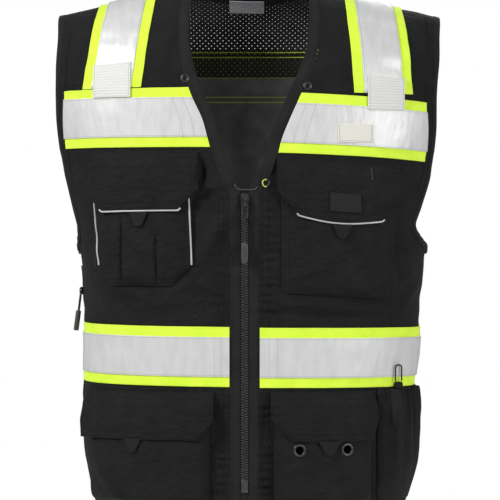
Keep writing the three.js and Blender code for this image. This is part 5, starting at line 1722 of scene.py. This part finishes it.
def ring_profile(hole, radius, low, high):
    """A ring's section: a rounded lip between its hole and its outer edge, and a barrel below."""
    middle, half = (hole + radius) / 2, (radius - hole) / 2
    angles = np.linspace(0.05, math.pi - 0.05, 12)
    lip = [(middle + half * math.cos(angle), high * math.sin(angle) ** 0.7) for angle in angles]
    return lip + [(hole, low), (hole + 0.0008, low), (hole + 0.0008, 0.0)]


STEP = 0.02
for name, u, centre in zip(("grommet_inner", "grommet_outer"), grommet_us, grommet_places):
    across = pocket_points(LOWER_LEFT, np.array([u - STEP, u + STEP]), np.full(2, grommet_v))
    down = pocket_points(LOWER_LEFT, np.full(2, u), np.array([grommet_v - STEP, grommet_v + STEP]))
    out = np.cross(across[1] - across[0], down[0] - down[1])
    out = out if out[1] < 0 else -out
    profile = ring_profile(GROMMET_HOLE, GROMMET_RADIUS, -0.0012, 0.0016)
    ring = turned_ring(name + "_ring", centre, out, profile, ring_metal)
    place(ring, "vest", "grommet_metal", name)

# %% [markdown]
# ## Flaps, piping and pull tabs
#
# A flap covers each pocket's mouth. It is a grid like the pocket's own, so it rises with the pocket under
# it. The pipings are thin bars along the flaps' lower edges, which a curve with a round bevel could make
# too, but a bar keeps its foot on the cloth. Each flap has a moulded tab to pull it open.

# %% Flap shapes
FLAP_SEAMS = (0.0025, 0.0085)


def flap_lift(flap, v):
    down = v * flap["drop"]

    def stack(share):
        return pocket_lift(flap["pocket"], 0.5, share) + LAYER_GAP + FLAP_WALL

    rising = mix(LAYER_GAP + FLAP_WALL, stack(0), down / FLAP_SEWN)
    lying = stack(np.maximum(down - FLAP_SEWN, 0) / flap["pocket"]["height"])
    return np.where(down < FLAP_SEWN, rising, lying)


def flap_width(flap):
    return width_of(flap["pocket"]) + 2 * flap["overhang"]


def flap_place(flap, u, v):
    inner, outer = flap["pocket"]["inner"], flap["pocket"]["outer"]
    sign = np.sign(outer - inner)
    width = flap_width(flap)
    share = cut_corners(u, v, width, flap["drop"], flap["chamfer"], flap.get("outer_cut", 1.0))
    belly = flap["round"] * np.sin(math.pi * u) * np.clip(2 * v - 1, 0, 1)
    x = inner - sign * flap["overhang"] + sign * width * share
    level = flap["pocket"]["top"] + FLAP_SEWN + flap["pocket"]["tilt"] * share - v * flap["drop"] - belly
    return x, level


def flap_points(flap, u, v, more=0.0):
    x, level = flap_place(flap, u, v)
    seed = flap["pocket"]["inner"] * 700
    soft = 0.0022 * uneven(u * 3.5 + seed, v * 2.5 + u) + 0.0010 * uneven(u * 9 + seed, v * 6)
    flare = 0.0020 * np.abs(2 * u - 1) ** 3 * np.clip(v * 2 - 0.4, 0, 1)
    return on_front(x, level, flap_lift(flap, v) + (soft + 0.0011) * np.clip(v * 3, 0, 1) + flare + more)


def make_flap(name, flap, node):
    """A flap of cloth with two rows of stitches all round."""
    width = flap_width(flap)
    u, v = spread(84, width, 0.0012)[None], spread(44, flap["drop"], 0.0012)[:, None]
    made = shell(name, flap_points(flap, u, v), 0.0016, pocket_twill, 0.0009)
    place(made, "vest", "shell_cloth", node)
    declare(made)
    for gap in FLAP_SEAMS:
        u, v = round_route(gap / width, 0.06, gap / flap["drop"], 44, 60)
        sew("dark", flap_points(flap, u, v, 0.0001))
    for gap in FLAP_SEAMS:
        top_row = np.linspace(0.01, 0.99, 60), np.full(60, gap / flap["drop"])
        sew("dark", flap_points(flap, *top_row, 0.0001))


make_flap("chest_flap_cloth_right", FLAP_CHEST_RIGHT, "chest_flap_right")
make_flap("chest_flap_cloth_left", FLAP_CHEST_LEFT, "chest_flap_left")
make_flap("lower_flap_cloth_right", FLAP_LOWER_RIGHT, "lower_flap_right")
make_flap("lower_flap_cloth_left", FLAP_LOWER_LEFT, "lower_flap_left")

# %% Piping
PIPING_WIDTH = 0.0026


def flap_piping(name, flap, start, node):
    """A reflective cord sewn under the lower edge of a flap."""
    drops = np.linspace(start, 1, 14)
    u = np.concatenate([np.zeros(14), np.linspace(0, 1, 60)[1:-1], np.ones(14)])
    v = np.concatenate([drops, np.ones(58), drops[::-1]])
    line = smooth_line(flap_points(flap, u, v, -0.0008), 4)
    sign = np.sign(flap["pocket"]["outer"] - flap["pocket"]["inner"])
    line = beside_line(line, sign * (PIPING_WIDTH / 2 + 0.0002), 0.0004)
    taper = 0.45 + 0.55 * np.sin(math.pi * np.linspace(0.04, 0.96, len(line))) ** 0.4
    piece = bar(name, line, round_section(PIPING_WIDTH * 0.42), grey_piping, taper)
    place(piece, "vest", "grey_piping", node)


flap_piping("chest_piping_cord_right", FLAP_CHEST_RIGHT, 0.965, "chest_piping_right")
flap_piping("chest_piping_cord_left", FLAP_CHEST_LEFT, 0.965, "chest_piping_left")
for name, start, end in (("side_piping_outer", 0.990, 0.895), ("side_piping_inner", 0.036, 0.004)):
    v = np.linspace(0.28, 1 - CHEST_RIGHT["chamfer"] / CHEST_RIGHT["height"], 40)
    line = pocket_points(CHEST_RIGHT, mix(start, end, np.linspace(0, 1, 40)), v, PIPING_WIDTH * 0.4)
    taper = 0.55 + 0.45 * np.sin(math.pi * np.linspace(0.08, 0.92, 40)) ** 0.5
    section = round_section(PIPING_WIDTH * 0.45)
    place(bar(name + "_cord", line, section, grey_piping, taper), "vest", "grey_piping", name)


# %% Pull tabs
TIP_START = 0.72  # share of a tab's length where its rounded tip starts
TIP_WIDTH = 0.52  # share of its width there


def pull_tab(name, flap, share, width, length, clear, node):
    """A moulded tab with a rounded tip that hangs from under a flap's lower edge."""
    middle, top = flap_place(flap, share, 1.0)
    u = spread(13, width, 0.0006)[None]
    v = np.sin(np.linspace(0, QUARTER, 26))[:, None]
    tip = np.sqrt(np.clip(1 - ((v - TIP_START) / (1 - TIP_START)) ** 2, 0.002, 1))
    narrow = np.where(v < TIP_START, mix(1, TIP_WIDTH, v / TIP_START), TIP_WIDTH * tip)
    x = middle + (u - 0.5) * width * narrow
    level = top - clear - v * length
    down = (flap["pocket"]["top"] + flap["pocket"]["tilt"] * share - level) / flap["pocket"]["height"]
    lift = pocket_lift(flap["pocket"], 0.5, down) + LAYER_GAP + 0.0032
    made = shell(name, on_front(x, level, lift), 0.0014, pull_rubber, 0.0005)
    place(made, "vest", "pull_rubber", node)


pull_tab("chest_pull_tab_right", FLAP_CHEST_RIGHT, 0.52, 0.022, 0.017, 0.0030, "chest_tab_right")
pull_tab("chest_pull_tab_left", FLAP_CHEST_LEFT, 0.52, 0.024, 0.017, 0.0030, "chest_tab_left")
pull_tab("lower_pull_tab_right", FLAP_LOWER_RIGHT, 0.56, 0.020, 0.017, -0.001, "lower_tab_right")
pull_tab("lower_pull_tab_left", FLAP_LOWER_LEFT, 0.46, 0.026, 0.017, -0.001, "lower_tab_left")

# %% Loop patch and pen slot on the left chest flap
# The patch keeps its width where the flap's corners are cut, so its shares are worked back from there.
patch_v = mix(0.56, 0.84, spread(16, 0.023, 0.0005))[:, None]
patch_share = (0.54 + (spread(30, 0.046, 0.0005) - 0.5) * 0.245)[None]
patch_rise = FLAP_CHEST_LEFT["drop"] * (1 - patch_v)
patch_cut = np.maximum(0, FLAP_CHEST_LEFT["chamfer"] - patch_rise) / flap_width(FLAP_CHEST_LEFT)
patch_u = (patch_share - patch_cut) / (1 - 2 * patch_cut)
patch_points = flap_points(FLAP_CHEST_LEFT, patch_u, patch_v, 0.0018)
pile = shell("loop_pile_patch", patch_points, 0.0014, loop_pile, 0.0004)
place(pile, "vest", "pull_rubber", "loop_patch")
slot_u, slot_v = np.full(8, 0.76), np.linspace(0.10, 0.26, 8)
sew("grey", flap_points(FLAP_CHEST_LEFT, slot_u, slot_v, 0.0003))


# %% [markdown]
# ## Bottle pocket
#
# The stretch pocket on the left side is gathered by elastic at its mouth: a wave in its lift fades
# downwards. A piece of webbing, a cord lock and a loop of draw cord sit on it.

# %% Bottle pocket
BOTTLE_HEIGHT = 0.144
BOTTLE_BULGE = 0.0105
BOTTLE_GAP = 0.006
GATHER_DEPTH = 0.0034
GATHERS = 6
BOTTLE_START = 0.161
BOTTLE_REAR = 0.32
BOTTLE_TOP = HEM + BOTTLE_HEIGHT + 0.004


def bottle_turn(u, level):
    return mix(turn_at(BOTTLE_START, level), QUARTER + BOTTLE_REAR, u)


def bottle_lift(u, v):
    across = 1 - np.abs(2 * u - 1) ** 6
    belly = mix(BOTTLE_GAP * 0.3, BOTTLE_BULGE, np.sin(math.pi * np.clip(v, 0, 1)) ** 0.8)
    foot = 1 - v**8
    ruffle = GATHER_DEPTH * np.cos(2 * math.pi * GATHERS * u) * (1 - v) ** 1.4
    fine = 0.0012 * np.cos(2 * math.pi * 3 * GATHERS * u + 1.3 * np.sin(9 * u)) * (1 - v) ** 3
    return LAYER_GAP + FLAP_WALL + across * (foot * belly + ruffle + fine)


def bottle_points(u, v, more=0.0):
    level = BOTTLE_TOP - v * BOTTLE_HEIGHT
    return skin(bottle_turn(u, level), level, bottle_lift(u, v) + more)


u = np.linspace(0, 1, 150)[None]
near_foot = 0.7 + 0.3 * np.sin(np.linspace(0, QUARTER, 30)[1:])
v = np.concatenate([np.linspace(0, 0.7, 40), near_foot])[:, None]
bottle = shell("bottle_cloth", bottle_points(u, v), FLAP_WALL, pocket_twill, 0.0005)
place(bottle, "vest", "shell_cloth", "bottle_pocket")
declare(bottle)
for drop in (0.010, 0.013):
    sew("dark", bottle_points(np.linspace(0.02, 0.98, 120), np.full(120, drop / BOTTLE_HEIGHT), 0.0001))
for share in (0.03, 0.97):
    sew("dark", bottle_points(np.full(60, share), np.linspace(0.04, 0.97, 60), 0.0001))

LOCK_SHARE = 3.5 / (3 * GATHERS)
web_u = (LOCK_SHARE + (spread(12, 0.017, 0.0004) - 0.5) / GATHERS)[None]
web_v = np.linspace(0.0004, 0.0484, 34)[:, None] / BOTTLE_HEIGHT
webbing = shell("webbing_tab", bottle_points(web_u, web_v, 0.0018), 0.0014, olive_webbing, 0.0004)
place(webbing, "vest", "dark_webbing", "bottle_webbing")
place(rounded_copy("cord_stopper", "cord_lock", 0.0009, pull_rubber), "vest", "pull_rubber", "cord_lock")

# %% Draw cord
LOCK_DEPTH = 0.006
LOCK_LIFT = RIBBON_LIFT + LAYER_GAP + LOCK_DEPTH / 2 + 0.0008
LOCK_HEIGHT = 0.008
CORD_WIDTH = 0.002
LOOP_RISE = 0.021
LOOP_WIDTH = 0.008
lock_x = float(skin(bottle_turn(LOCK_SHARE, BOTTLE_TOP), BOTTLE_TOP)[0])


def smooth_base(turn, level):
    """The cloth's own surface without its folds."""
    return skin(turn, level, -fold_lift(skin(turn, level)[..., 0], level, np.cos(turn) > 0))


def loop_route():
    """Two straight legs and a half circle over them, in front of the waist band."""
    foot = SEAM_GAP * 3 + LOCK_HEIGHT
    half = LOOP_WIDTH / 2
    shoulder = foot + LOOP_RISE - half
    leg = np.linspace(foot, shoulder, 7)[:-1]
    bend = np.linspace(0, math.pi, 13)
    beside = np.concatenate([np.full(6, -half), -half * np.cos(bend), np.full(6, half)])
    up = np.concatenate([leg, shoulder + half * np.sin(bend), leg[::-1]])
    level = BOTTLE_TOP + up
    turn = turn_at(lock_x + beside, level)
    base = smooth_base(turn, level)
    return base + outward(base) * LOCK_LIFT


cord_line = loop_route()
draw_cord = tube("draw_cord_loop", cord_line, CORD_WIDTH / 2, cord_braid, 12)
place(draw_cord, "vest", "black_cord", "draw_cord")

# %% [markdown]
# ## Small trims
#
# Ribbed loops on the shoulder tapes, a blank cream patch on the left chest tape, a blank label in the
# neck and three eyelets beside the V.

# %% Patches
def patch(name, x, top, width, height, material, slot, node, waves=0):
    """A flat patch sewn on a tape. waves is how many ribs run across it."""
    u = spread(26, width, 0.0005)[None]
    v = spread(24 if not waves else 6 * waves, height, 0.0005)[:, None]
    relief = 0.0004 * np.abs(np.sin(math.pi * waves * v)) if waves else 0.0
    points = on_front(x + (u - 0.5) * width, top - v * height, PATCH_LIFT + relief)
    place(shell(name, points, 0.0014, material, 0.0005), "vest", slot, node)
    share_u, share_v = round_route(0.002 / width, 0.002 / height, 0.002 / height, 20, 20)
    row_x, row_level = x + (share_u - 0.5) * width, top - share_v * height
    sew("grey", on_front(row_x, row_level, PATCH_LIFT + 0.0003))


patch("mic_loop_right", -0.171, -0.104, 0.047, 0.050, ribbed_loop, "ribbed_loop", "mic_tab_right", 12)
patch("mic_loop_left", 0.171, -0.124, 0.046, 0.046, ribbed_loop, "ribbed_loop", "mic_tab_left", 12)
patch("blank_patch", 0.132, -0.188, 0.044, 0.023, cream_patch, "cream_patch", "id_patch")

label_x = (-0.003 + (np.linspace(0, 1, 24) - 0.5) * 0.046)[None]
label_level = (-BACK_NECK_DEPTH + 0.0045 - 0.014 * np.linspace(0, 1, 18))[:, None]
label_turn = np.where(label_x < 0, -1, 1) * (math.pi - np.abs(turn_at(np.abs(label_x), label_level)))
label_points = skin(label_turn, label_level, -CLOTH_WALL - EDGE_LIFT - LAYER_GAP - 0.001)
label = shell("plain_label", label_points, -0.0006, label_satin)
place(label, "vest", "label_cloth", "neck_label")

LOW_EYELET = (0.0207, -0.262)
eyelet_places = {"right": (-0.080, -0.1304), "left": (0.073, -0.1405), "low": LOW_EYELET}
for name, (x, level) in eyelet_places.items():
    centre = on_front(x, level)
    profile = ring_profile(0.0026, 0.0056, -0.001, 0.0012)
    eyelet = turned_ring("eyelet_" + name, centre, outward(centre), profile, ring_metal)
    place(eyelet, "vest", "grommet_metal")

# A lime bar tack lies like a crescent on the lowest eyelet.
arc = np.radians(np.linspace(72, 288, 24))
arc_line = on_front(LOW_EYELET[0] + 0.0040 * np.cos(arc), LOW_EYELET[1] + 0.0044 * np.sin(arc), 0.0022)
place(bar("lime_crescent", arc_line, round_section(0.0006), lime_thread), "vest", "bright_ribbon")

# %% [markdown]
# ## Side zip
#
# A zip runs down the right side seam. It has its own fine teeth, a slider, a cord and a moulded grip.

# %% Side zip
SIDE_ZIP_DROP = 0.366
SIDE_TOOTH_PITCH = 0.0021
SIDE_SLIDER_DROP = 0.393
SIDE_SLIDER_SIZE = (0.005, 0.009, 0.010)
side_levels = np.linspace(-SIDE_ZIP_DROP, HEM + END_GAP, 160)
side_line = skin(np.full(160, -QUARTER), side_levels, 0.0012)
side_sizes = {"Tooth": tooth, "Pitch": SIDE_TOOTH_PITCH, "Offset": 0.0}
side_tree = teeth_tree(zip_plastic)
side_teeth = run_tree("side_zip_teeth", line_carrier([(side_line, 1)]), side_tree, **side_sizes)
bpy.data.objects.remove(tooth)
tape_section = soft_rectangle(-0.0045, 0.0045, -0.0012, 0.0002, 0.0002)
side_tape = bar("side_zip_tape", side_line, tape_section, edge_tape)
top = skin(-QUARTER, -SIDE_SLIDER_DROP, LAYER_GAP + 0.0008)
slider_middle = float(top[0]) - 0.0022, float(top[1]), float(top[2]) - SIDE_SLIDER_SIZE[2] / 2
side_slider = rounded_block("side_slider", SIDE_SLIDER_SIZE, slider_middle, 0.0012, 3)
side_slider.data.materials.append(dark_metal)
side_slider.data.shade_smooth()
place(side_teeth, "vest", "zip_metal", "side_zip")
place(side_tape, "vest", "edging_cloth")
place(side_slider, "vest", "zip_metal")

low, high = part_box("side_pull_cord")
start = (high[0] - 0.0018, (low[1] + high[1]) / 2, high[2])
end = (low[0] + 0.0018, (low[1] + high[1]) / 2, low[2] - 0.001)
side_cord = twisted_cord("side_cord", start, end, 0.0034, cord_braid, 5)
place(side_cord, "vest", "black_cord", "side_pull_cord")
side_grip = rounded_copy("side_grip", "side_pull_grip", 0.0012, grip_rubber)
place(side_grip, "vest", "pull_rubber", "side_pull_grip")

# %% [markdown]
# ## All stitches at once
#
# The seams that were noted on the way become five meshes. Each has one kind of thread, and the dark one
# is made in two parts, so that neither mesh grows too large.

# %% Stitches
LOCK_STITCH = {"Pitch": 0.0033, "Length": 0.0025, "Width": 0.00055}
COVER_STITCH = {"Pitch": 0.0026, "Length": 0.0031, "Width": 0.0016}
for thread, lines, material, slot, sizes in (
    ("dark_body", seams["dark"][:body_seams], dark_thread, "shell_cloth", LOCK_STITCH),
    ("dark_pockets", seams["dark"][body_seams:], dark_thread, "shell_cloth", LOCK_STITCH),
    ("lime", seams["lime"], lime_thread, "bright_ribbon", LOCK_STITCH),
    ("grey", seams["grey"], grey_thread, "reflective_tape", LOCK_STITCH),
    ("cover", seams["cover"], lime_thread, "bright_ribbon", COVER_STITCH),
):
    stitches = run_tree("stitches_" + thread, line_carrier(lines), stitch_tree(material), **sizes)
    place(stitches, "vest", slot)

# %% Finish
own_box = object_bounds()
sizes = {"cad": [list(corner) for corner in cad_box], "visual": [list(corner) for corner in own_box]}
print("visual box", sizes["visual"])
